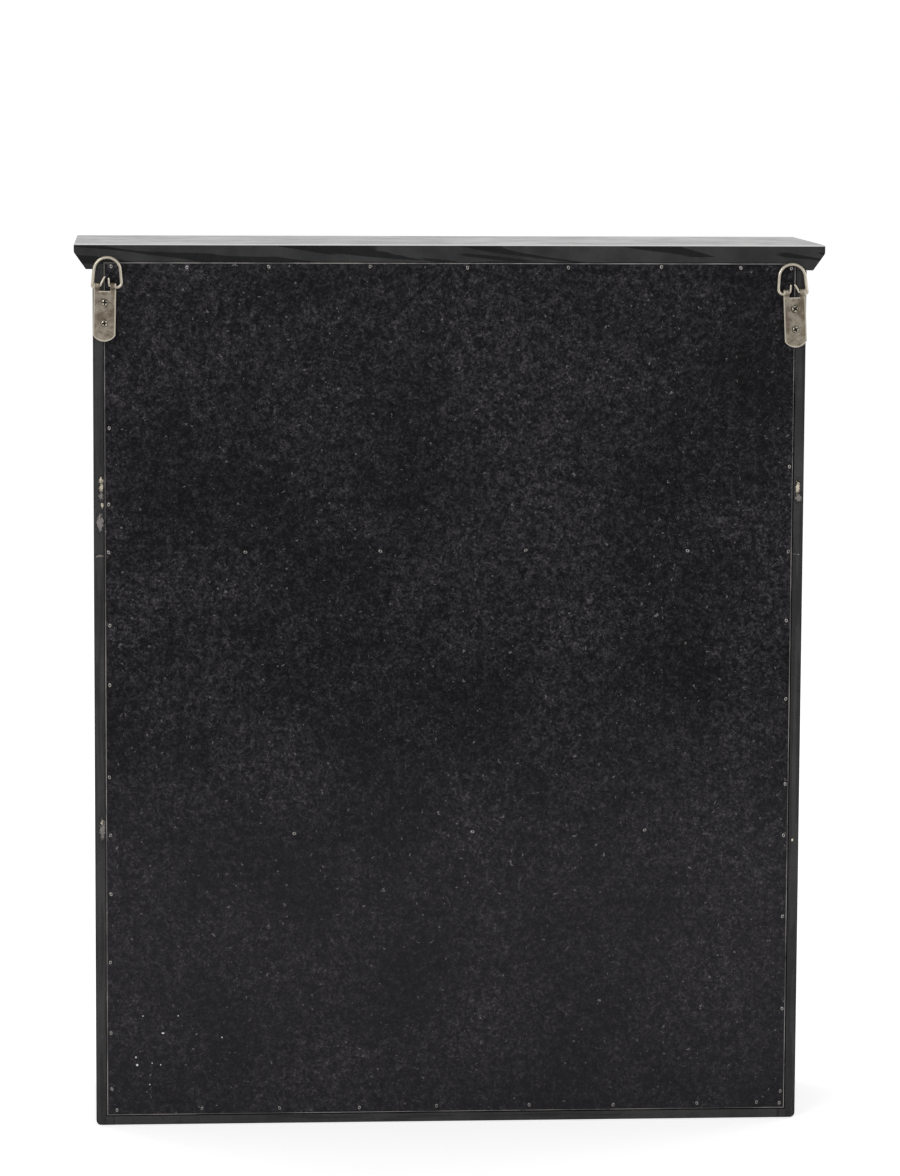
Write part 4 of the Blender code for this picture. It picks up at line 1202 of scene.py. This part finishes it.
FINISHES = {
    "crown_lacquer": partial(
        lacquer, roughness=0.13, gloss=0.30, smear=(0.15, 0.06, 0.011), lean=0.10, cover=0.62,
        edge="edge"),
    "side_lacquer_right": partial(
        lacquer, roughness=0.24, gloss=0.40, knocks=KNOCKS["side_right"],
        smear=(0.003, 0.003, 0.09), cover=0.66, thin=0.5),
    "side_lacquer_left": partial(
        lacquer, roughness=0.24, gloss=0.40, knocks=KNOCKS["side_left"],
        smear=(0.004, 0.004, 0.12), cover=0.50, thin=0.45),
    "case_lacquer": partial(
        lacquer, roughness=0.24, gloss=0.50, smear=(0.09, 0.02, 0.004), cover=0.85, thin=0.5),
    "door_lacquer": partial(
        lacquer, roughness=0.17, gloss=0.45, smear=(0.3, 0.05, 0.3), cover=0.20, thin=0.5),
    "dyed_hardboard": hardboard,
    "aged_strap": partial(old_nickel, tarnish=0.95, bright=("rim",)),
    "aged_ring": partial(old_nickel, tarnish=0.36),
    "aged_screw": screw_nickel,
    "dull_brad": partial(
        plain_metal, tone="brad_steel", roughness=0.30, dulled=0.45, painted_shade="painted_shade"),
    "bright_screw": partial(plain_metal, tone="screw_steel", roughness=0.34),
    "satin_nickel": partial(
        plain_metal, tone="bright_nickel", roughness=0.22, brushed=0.10, dulled=0.12),
    "mirror_silver": mirror,
    "grey_backing": partial(
        matt, tone=(0.16, 0.15, 0.135), paler=(0.30, 0.28, 0.25), roughness=0.85, size=0.0016),
    "catch_plastic": partial(
        matt, tone=(0.010, 0.010, 0.011), paler=(0.028, 0.028, 0.030), roughness=0.42,
        size=0.0006, depth=0.02),
    "magnet": partial(
        matt, tone=(0.05, 0.05, 0.055), paler=(0.11, 0.11, 0.115), roughness=0.55,
        size=0.0008, depth=0.03),
    "clear_rubber": partial(
        matt, tone=(0.46, 0.46, 0.43), paler=(0.62, 0.62, 0.60), roughness=0.40,
        size=0.0009, depth=0.02, Transmission_Weight=0.5),
    "beech_wood": partial(
        matt, tone=(0.50, 0.34, 0.20), paler=(0.70, 0.53, 0.35), roughness=0.62,
        size=0.0012, stretch=(1.0, 1.0, 0.12)),
}


def finish_for(name):
    """The finish of that name, made when first asked for."""
    made = bpy.data.materials.get(name)
    return made or FINISHES[name](name, bpy.context.scene.cabinet_finishes)


def dress(nodes, finish, width=None):
    """Give CAD nodes a finish, and ease their edges where a width is given."""
    for name in nodes:
        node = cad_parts[name]
        if not node.material_slots:
            raise RuntimeError(f"{name} has no material slot")
        for place in node.material_slots:
            place.material = finish_for(finish)
        if width:
            ease(node, width, segments=2, join=True)


# ---------------------------------------------------------------- operators


class CABINET_OT_top_board(bpy.types.Operator):
    """Make the moulded top board"""

    bl_idname = "cabinet.top_board"
    bl_label = "Top board"

    def execute(self, context):
        *shape, worn = crown_surface()
        piece = make_piece(
            "crown_board", shape, "cabinet", "crown_lacquer", ["top_board"],
            {"edge": worn}, sharp=40,
        )
        ease(piece, 0.9 * context.scene.cabinet_sizes.arris)
        return {"FINISHED"}


class CABINET_OT_case(bpy.types.Operator):
    """Finish the sides, bottom, shelves, stops and dowels"""

    bl_idname = "cabinet.case"
    bl_label = "Case"

    def execute(self, context):
        width = context.scene.cabinet_sizes.arris
        dress(["side_panel_right"], "side_lacquer_right", width)
        dress(["side_panel_left"], "side_lacquer_left", width)
        piece = make_piece(
            "bottom_board", bottom_surface(), "cabinet", "case_lacquer",
            ["bottom_panel"],
        )
        ease(piece, 0.35 * width)
        dress(["shelf_lower", "shelf_upper"], "case_lacquer", width)
        dress(["door_stop_top", "door_stop_bottom"], "case_lacquer", width)
        ends = [f"dowel_{a}_{b}_{c}" for a in ("top", "bottom") for b in ("left", "right")
                for c in ("front", "rear")]
        dress(ends, "beech_wood")
        return {"FINISHED"}


class CABINET_OT_back_board(bpy.types.Operator):
    """Make the hardboard back"""

    bl_idname = "cabinet.back_board"
    bl_label = "Back board"

    def execute(self, context):
        *shape, edge = sheet_surface(context.scene.cabinet_sizes)
        make_piece(
            "hardboard_back", shape, "cabinet", "dyed_hardboard",
            ["back_panel"], {"edge": edge}, sharp=60,
        )
        return {"FINISHED"}


class CABINET_OT_brads(bpy.types.Operator):
    """Make the rows of brads that hold the back"""

    bl_idname = "cabinet.brads"
    bl_label = "Brads"

    def execute(self, context):
        sizes = context.scene.cabinet_sizes
        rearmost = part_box("back_panel")[1].y
        for name, (run, fixed, along) in BRAD_ROWS.items():
            along = np.array(along, float) * MM
            wander = 0.5 * MM * np.sin(np.arange(len(along)) * 1.9 + len(name))
            across = fixed * MM + wander
            x, z = (along, across) if run == "x" else (across, along)
            centres = np.stack([x, rearmost + board_rise(x, z, sizes), z], -1)
            *shape, painted_shade = brad_surface(centres, sizes, lying="shelf" in name)
            make_piece(
                name, shape, "cabinet", "dull_brad", masks={"painted_shade": painted_shade}, sharp=60
            )
        return {"FINISHED"}


class CABINET_OT_hanger_straps(bpy.types.Operator):
    """Make the folded hanger straps"""

    bl_idname = "cabinet.hanger_straps"
    bl_label = "Hanger straps"

    def execute(self, context):
        sizes = context.scene.cabinet_sizes
        points, quads, rim, dimple = strap_surface(sizes)
        for side in HANGERS:
            piece = make_piece(
                f"folded_strap_{side}", (hang(points, side), quads), "cabinet",
                "aged_strap", [f"hanger_strap_{side}"], {"rim": rim, "dimple": dimple},
                closed=False,
            )
            thick = piece.modifiers.new("Sheet", "SOLIDIFY")
            thick.thickness = sizes.sheet
            thick.offset = 0.0
            ease(piece, 0.3 * sizes.sheet, angle=60)
        return {"FINISHED"}


class CABINET_OT_hanger_rings(bpy.types.Operator):
    """Make the bent wire rings"""

    bl_idname = "cabinet.hanger_rings"
    bl_label = "Hanger rings"

    def execute(self, context):
        sizes, sides = context.scene.cabinet_sizes, 24
        for side, (*_, shift, tip_out, tip_in) in HANGERS.items():
            line = ring_line(shift, (tip_out, tip_in))
            radii = wire_radii(len(line), sizes)
            points = hang(swept(line, radii, sides), side, RING_TILT)
            quads = grid_quads(len(line), sides, close_columns=True)
            make_piece(
                f"wire_ring_{side}", (points, quads, end_rings(len(line), sides)),
                f"ring_{side}", "aged_ring", [f"hanger_ring_{side}"], sharp=60,
            )
        return {"FINISHED"}


class CABINET_OT_hanger_screws(bpy.types.Operator):
    """Make the cross-head screws of the hangers"""

    bl_idname = "cabinet.hanger_screws"
    bl_label = "Hanger screws"

    def execute(self, context):
        deep = context.scene.cabinet_sizes.recess
        for side in HANGERS:
            for place, drop in SCREW_DROPS:
                key = f"{side}_{place}"
                points, quads, recess, rim = screw_surface(*SCREW, deep, SCREW_TURNS[key])
                points = points + np.array([0, SCREW_SEAT, drop * MM])
                make_piece(
                    f"strap_screw_{key}", (hang(points, side), quads), "cabinet",
                    "aged_screw", [f"hanger_screw_{key}"],
                    {"recess": recess, "rim": rim}, sharp=50,
                )
        return {"FINISHED"}


class CABINET_OT_door_frame(bpy.types.Operator):
    """Make the mitred door frame and its glass beads"""

    bl_idname = "cabinet.door_frame"
    bl_label = "Door frame"

    def execute(self, context):
        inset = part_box("mirror_glass")[0].x - DOOR_LOW[0]
        members = {"hinge": "door_stile_hinge", "latch": "door_stile_latch",
                   "bottom": "door_rail_bottom", "top": "door_rail_top"}
        for key, node in members.items():
            for name, stands_for, profile, back in (
                (f"moulding_{key}", node, frame_profile(), 0.0),
                (f"glass_bead_{key}", f"bead_{key}", bead_profile(), inset),
            ):
                shape = member_surface(key, profile, back)
                make_piece(
                    name, shape, "door", "door_lacquer", [stands_for], sharp=28
                )
        return {"FINISHED"}


class CABINET_OT_mirror(bpy.types.Operator):
    """Make the bevelled mirror, and finish its backing"""

    bl_idname = "cabinet.mirror"
    bl_label = "Mirror"

    def execute(self, context):
        make_piece(
            "bevelled_mirror", glass_surface(), "door", "mirror_silver",
            ["mirror_glass"], sharp=1.5,
        )
        dress(["mirror_backing"], "grey_backing")
        return {"FINISHED"}


class CABINET_OT_knob(bpy.types.Operator):
    """Make the turned knob, and finish its screw"""

    bl_idname = "cabinet.knob"
    bl_label = "Knob"

    def execute(self, context):
        low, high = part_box("knob")
        centre = ((low.x + high.x) / 2, high.y, (low.z + high.z) / 2)
        profile, sides = knob_profile(), context.scene.cabinet_sizes.knob_sides
        points = spun(profile, sides, centre, (0, -1, 0))
        quads = grid_quads(len(profile), sides, close_columns=True)
        make_piece(
            "turned_knob", (points, quads), "door", "satin_nickel", ["knob"],
            sharp=40,
        )
        dress(["knob_screw"], "bright_screw")
        return {"FINISHED"}


class CABINET_OT_hinges(bpy.types.Operator):
    """Finish the butt hinges and their screws"""

    bl_idname = "cabinet.hinges"
    bl_label = "Hinges"

    def execute(self, context):
        for place in ("lower", "upper"):
            dress([f"hinge_{place}_leaf_cabinet", f"hinge_{place}_leaf_door",
                   f"hinge_{place}_pin"], "satin_nickel")
            dress([f"hinge_{place}_screw_{leaf}_{end}" for leaf in ("cabinet", "door")
                   for end in ("upper", "lower")], "bright_screw")
        return {"FINISHED"}


class CABINET_OT_catch(bpy.types.Operator):
    """Finish the magnetic catch and the soft bumpers"""

    bl_idname = "cabinet.catch"
    bl_label = "Catch and bumpers"

    def execute(self, context):
        dress(["catch_housing"], "catch_plastic", 0.0004)
        dress(["catch_magnet"], "magnet")
        dress(["catch_strike"], "satin_nickel", 0.0002)
        dress(["catch_screw_upper", "catch_screw_lower", "catch_strike_screw"], "bright_screw")
        dress(["door_bumper_upper", "door_bumper_lower"], "clear_rubber")
        return {"FINISHED"}


class CABINET_OT_studio(bpy.types.Operator):
    """Make the floor, the room's light and the camera"""

    bl_idname = "cabinet.studio"
    bl_label = "Studio"

    def execute(self, context):
        studio = context.scene.cabinet_studio
        floor_disc(studio)
        room(context.scene, studio)
        for name, place, size, power in (
            ("Key light", (1.7, 2.6, 1.5), 1.6, studio.key),
            ("Side light", (-2.6, 1.8, 0.9), 1.4, studio.fill),
            ("Front light", (1.7, -2.2, 2.3), 1.5, 0.8 * studio.key),
            ("Front side light", (-2.3, -1.6, 1.8), 1.3, studio.fill),
        ):
            soft_light(context.scene, name, place, size, power)
        stand_camera(context.scene, studio)
        return {"FINISHED"}


def floor_disc(studio):
    """A flat round floor: rings of points at growing radii, level with the cabinet's foot."""
    radius = np.concatenate([np.linspace(0, 3, 7), np.geomspace(4, 60, 12)])
    turn = np.arange(64) * math.tau / 64
    x = radius[:, None] * np.cos(turn)
    z = np.full_like(x, CAD_BOX[0][2] - 0.3 * MM)
    points = np.stack([x, radius[:, None] * np.sin(turn), z], -1)
    mesh = put_in(
        "floor", points, grid_quads(len(radius), 64, close_columns=True), closed=False
    )
    floor = bpy.data.objects.new("floor", mesh)
    bpy.context.scene.collection.objects.link(floor)
    made, tree, shader, where = start_finish("pale_floor", 0.9, Specular_IOR_Level=0.1)
    mottle = use(tree, "Clouds", Vector=where, Size=0.8, Contrast=0.6)["Value"]
    tree.links.new(
        mixed(tree, mottle, studio.floor, tuple(c * 0.99 for c in studio.floor)),
        shader.inputs["Base Color"],
    )
    glow = add(tree, "ShaderNodeEmission", None, Color=(1, 1, 1, 1), Strength=studio.floor_glow)
    lit = add(tree, "ShaderNodeAddShader", None, _0=shader.outputs[0], _1=glow.outputs[0])
    seen = tree.nodes.new("ShaderNodeLightPath").outputs["Is Camera Ray"]
    both = add(tree, "ShaderNodeMixShader", None, _0=seen, _1=shader.outputs[0],
               _2=lit.outputs[0])
    tree.links.new(both.outputs[0], tree.nodes["Material Output"].inputs["Surface"])
    floor.data.materials.append(made)


def room(scene, studio):
    """A pale room all round: white as seen, and a little dimmer behind and overhead as light."""
    world = bpy.data.worlds.new("Room")
    scene.world = world
    world.use_nodes = True
    tree = world.node_tree
    tree.nodes.clear()
    where = tree.nodes.new("ShaderNodeTexCoord").outputs["Generated"]
    apart = add(tree, "ShaderNodeSeparateXYZ", None, Vector=where).outputs
    rear = ranged(tree, apart[1], -0.5, 0.6, 0.84, 0.66)
    above = ranged(tree, apart[2], 0.06, 0.9, 1.0, 0.55)
    horizon = ranged(tree, apart[2], 0.0, 0.08, 0.74, 1.0)
    strength = times(tree, times(tree, rear, above), horizon)
    strength = times(tree, strength, studio.sky)
    light = add(tree, "ShaderNodeBackground", None, Color=(1, 1, 1, 1), Strength=strength)
    seen = add(tree, "ShaderNodeBackground", None, Color=(1, 1, 1, 1), Strength=1.02)
    path = tree.nodes.new("ShaderNodeLightPath").outputs["Is Camera Ray"]
    both = add(tree, "ShaderNodeMixShader", None, _0=path, _1=light.outputs[0], _2=seen.outputs[0])
    out = tree.nodes.new("ShaderNodeOutputWorld")
    tree.links.new(both.outputs[0], out.inputs["Surface"])
    scene.view_settings.view_transform = "Standard"


def soft_light(scene, name, place, size, power):
    """A square soft light that faces the middle of the cabinet."""
    lamp = bpy.data.lights.new(name, "AREA")
    lamp.shape, lamp.size, lamp.energy = "SQUARE", size, power
    light = bpy.data.objects.new(name, lamp)
    light.location = place
    middle = Vector((0, -0.08, -0.35))
    light.rotation_euler = (middle - light.location).to_track_quat("-Z", "Y").to_euler()
    light.visible_camera = False
    scene.collection.objects.link(light)


def stand_camera(scene, studio):
    """The camera stands behind the cabinet, turned by heading, then tilt, then roll."""
    data = bpy.data.cameras.new("Camera")
    data.lens, data.sensor_width, data.sensor_fit = studio.lens, 36.0, "AUTO"
    data.clip_start, data.clip_end = 0.05, 100.0
    camera = bpy.data.objects.new("Camera", data)
    turn, tilt = studio.heading, studio.tilt
    ahead = Vector((math.sin(turn) * math.cos(tilt), -math.cos(turn) * math.cos(tilt),
                    -math.sin(tilt)))
    right = Vector((-math.cos(turn), -math.sin(turn), 0))
    up = right.cross(ahead)
    lean = Matrix.Rotation(-studio.roll, 3, ahead)
    right, up = lean @ right, lean @ up
    pose = Matrix((right, up, -ahead)).transposed().to_4x4()
    pose.translation = Vector(studio.place)
    camera.matrix_world = pose
    scene.collection.objects.link(camera)
    scene.camera = camera


class CABINET_PT_pieces(bpy.types.Panel):
    """Pieces, finishes and studio of the cabinet"""

    bl_label = "Medicine cabinet"
    bl_space_type = "VIEW_3D"
    bl_region_type = "UI"
    bl_category = "Cabinet"

    def draw(self, context):
        layout, scene = self.layout, context.scene
        steps = layout.column(align=True)
        for operator in OPERATORS:
            steps.operator(operator.bl_idname)
        for group in (scene.cabinet_sizes, scene.cabinet_finishes, scene.cabinet_studio):
            box = layout.box()
            for key in group.__annotations__:
                box.prop(group, key)


OPERATORS = (
    CABINET_OT_top_board, CABINET_OT_case, CABINET_OT_back_board, CABINET_OT_brads,
    CABINET_OT_hanger_straps, CABINET_OT_hanger_rings, CABINET_OT_hanger_screws,
    CABINET_OT_door_frame, CABINET_OT_mirror, CABINET_OT_knob, CABINET_OT_hinges,
    CABINET_OT_catch, CABINET_OT_studio,
)
GROUPS = {
    "cabinet_sizes": CabinetSizes, "cabinet_finishes": CabinetFinishes,
    "cabinet_studio": CabinetStudio,
}


def register():
    """Add the settings, the steps and the panel."""
    for made in (*GROUPS.values(), *OPERATORS, CABINET_PT_pieces):
        bpy.utils.register_class(made)
    for name, group in GROUPS.items():
        setattr(bpy.types.Scene, name, PointerProperty(type=group))


def unregister():
    """Take them away again."""
    for name in GROUPS:
        delattr(bpy.types.Scene, name)
    for made in (CABINET_PT_pieces, *reversed(OPERATORS), *reversed(GROUPS.values())):
        bpy.utils.unregister_class(made)


def main():
    """Take every step in turn."""
    register()
    for operator in OPERATORS:
        family, name = operator.bl_idname.split(".")
        getattr(getattr(bpy.ops, family), name)()


if __name__ == "__main__":
    main()
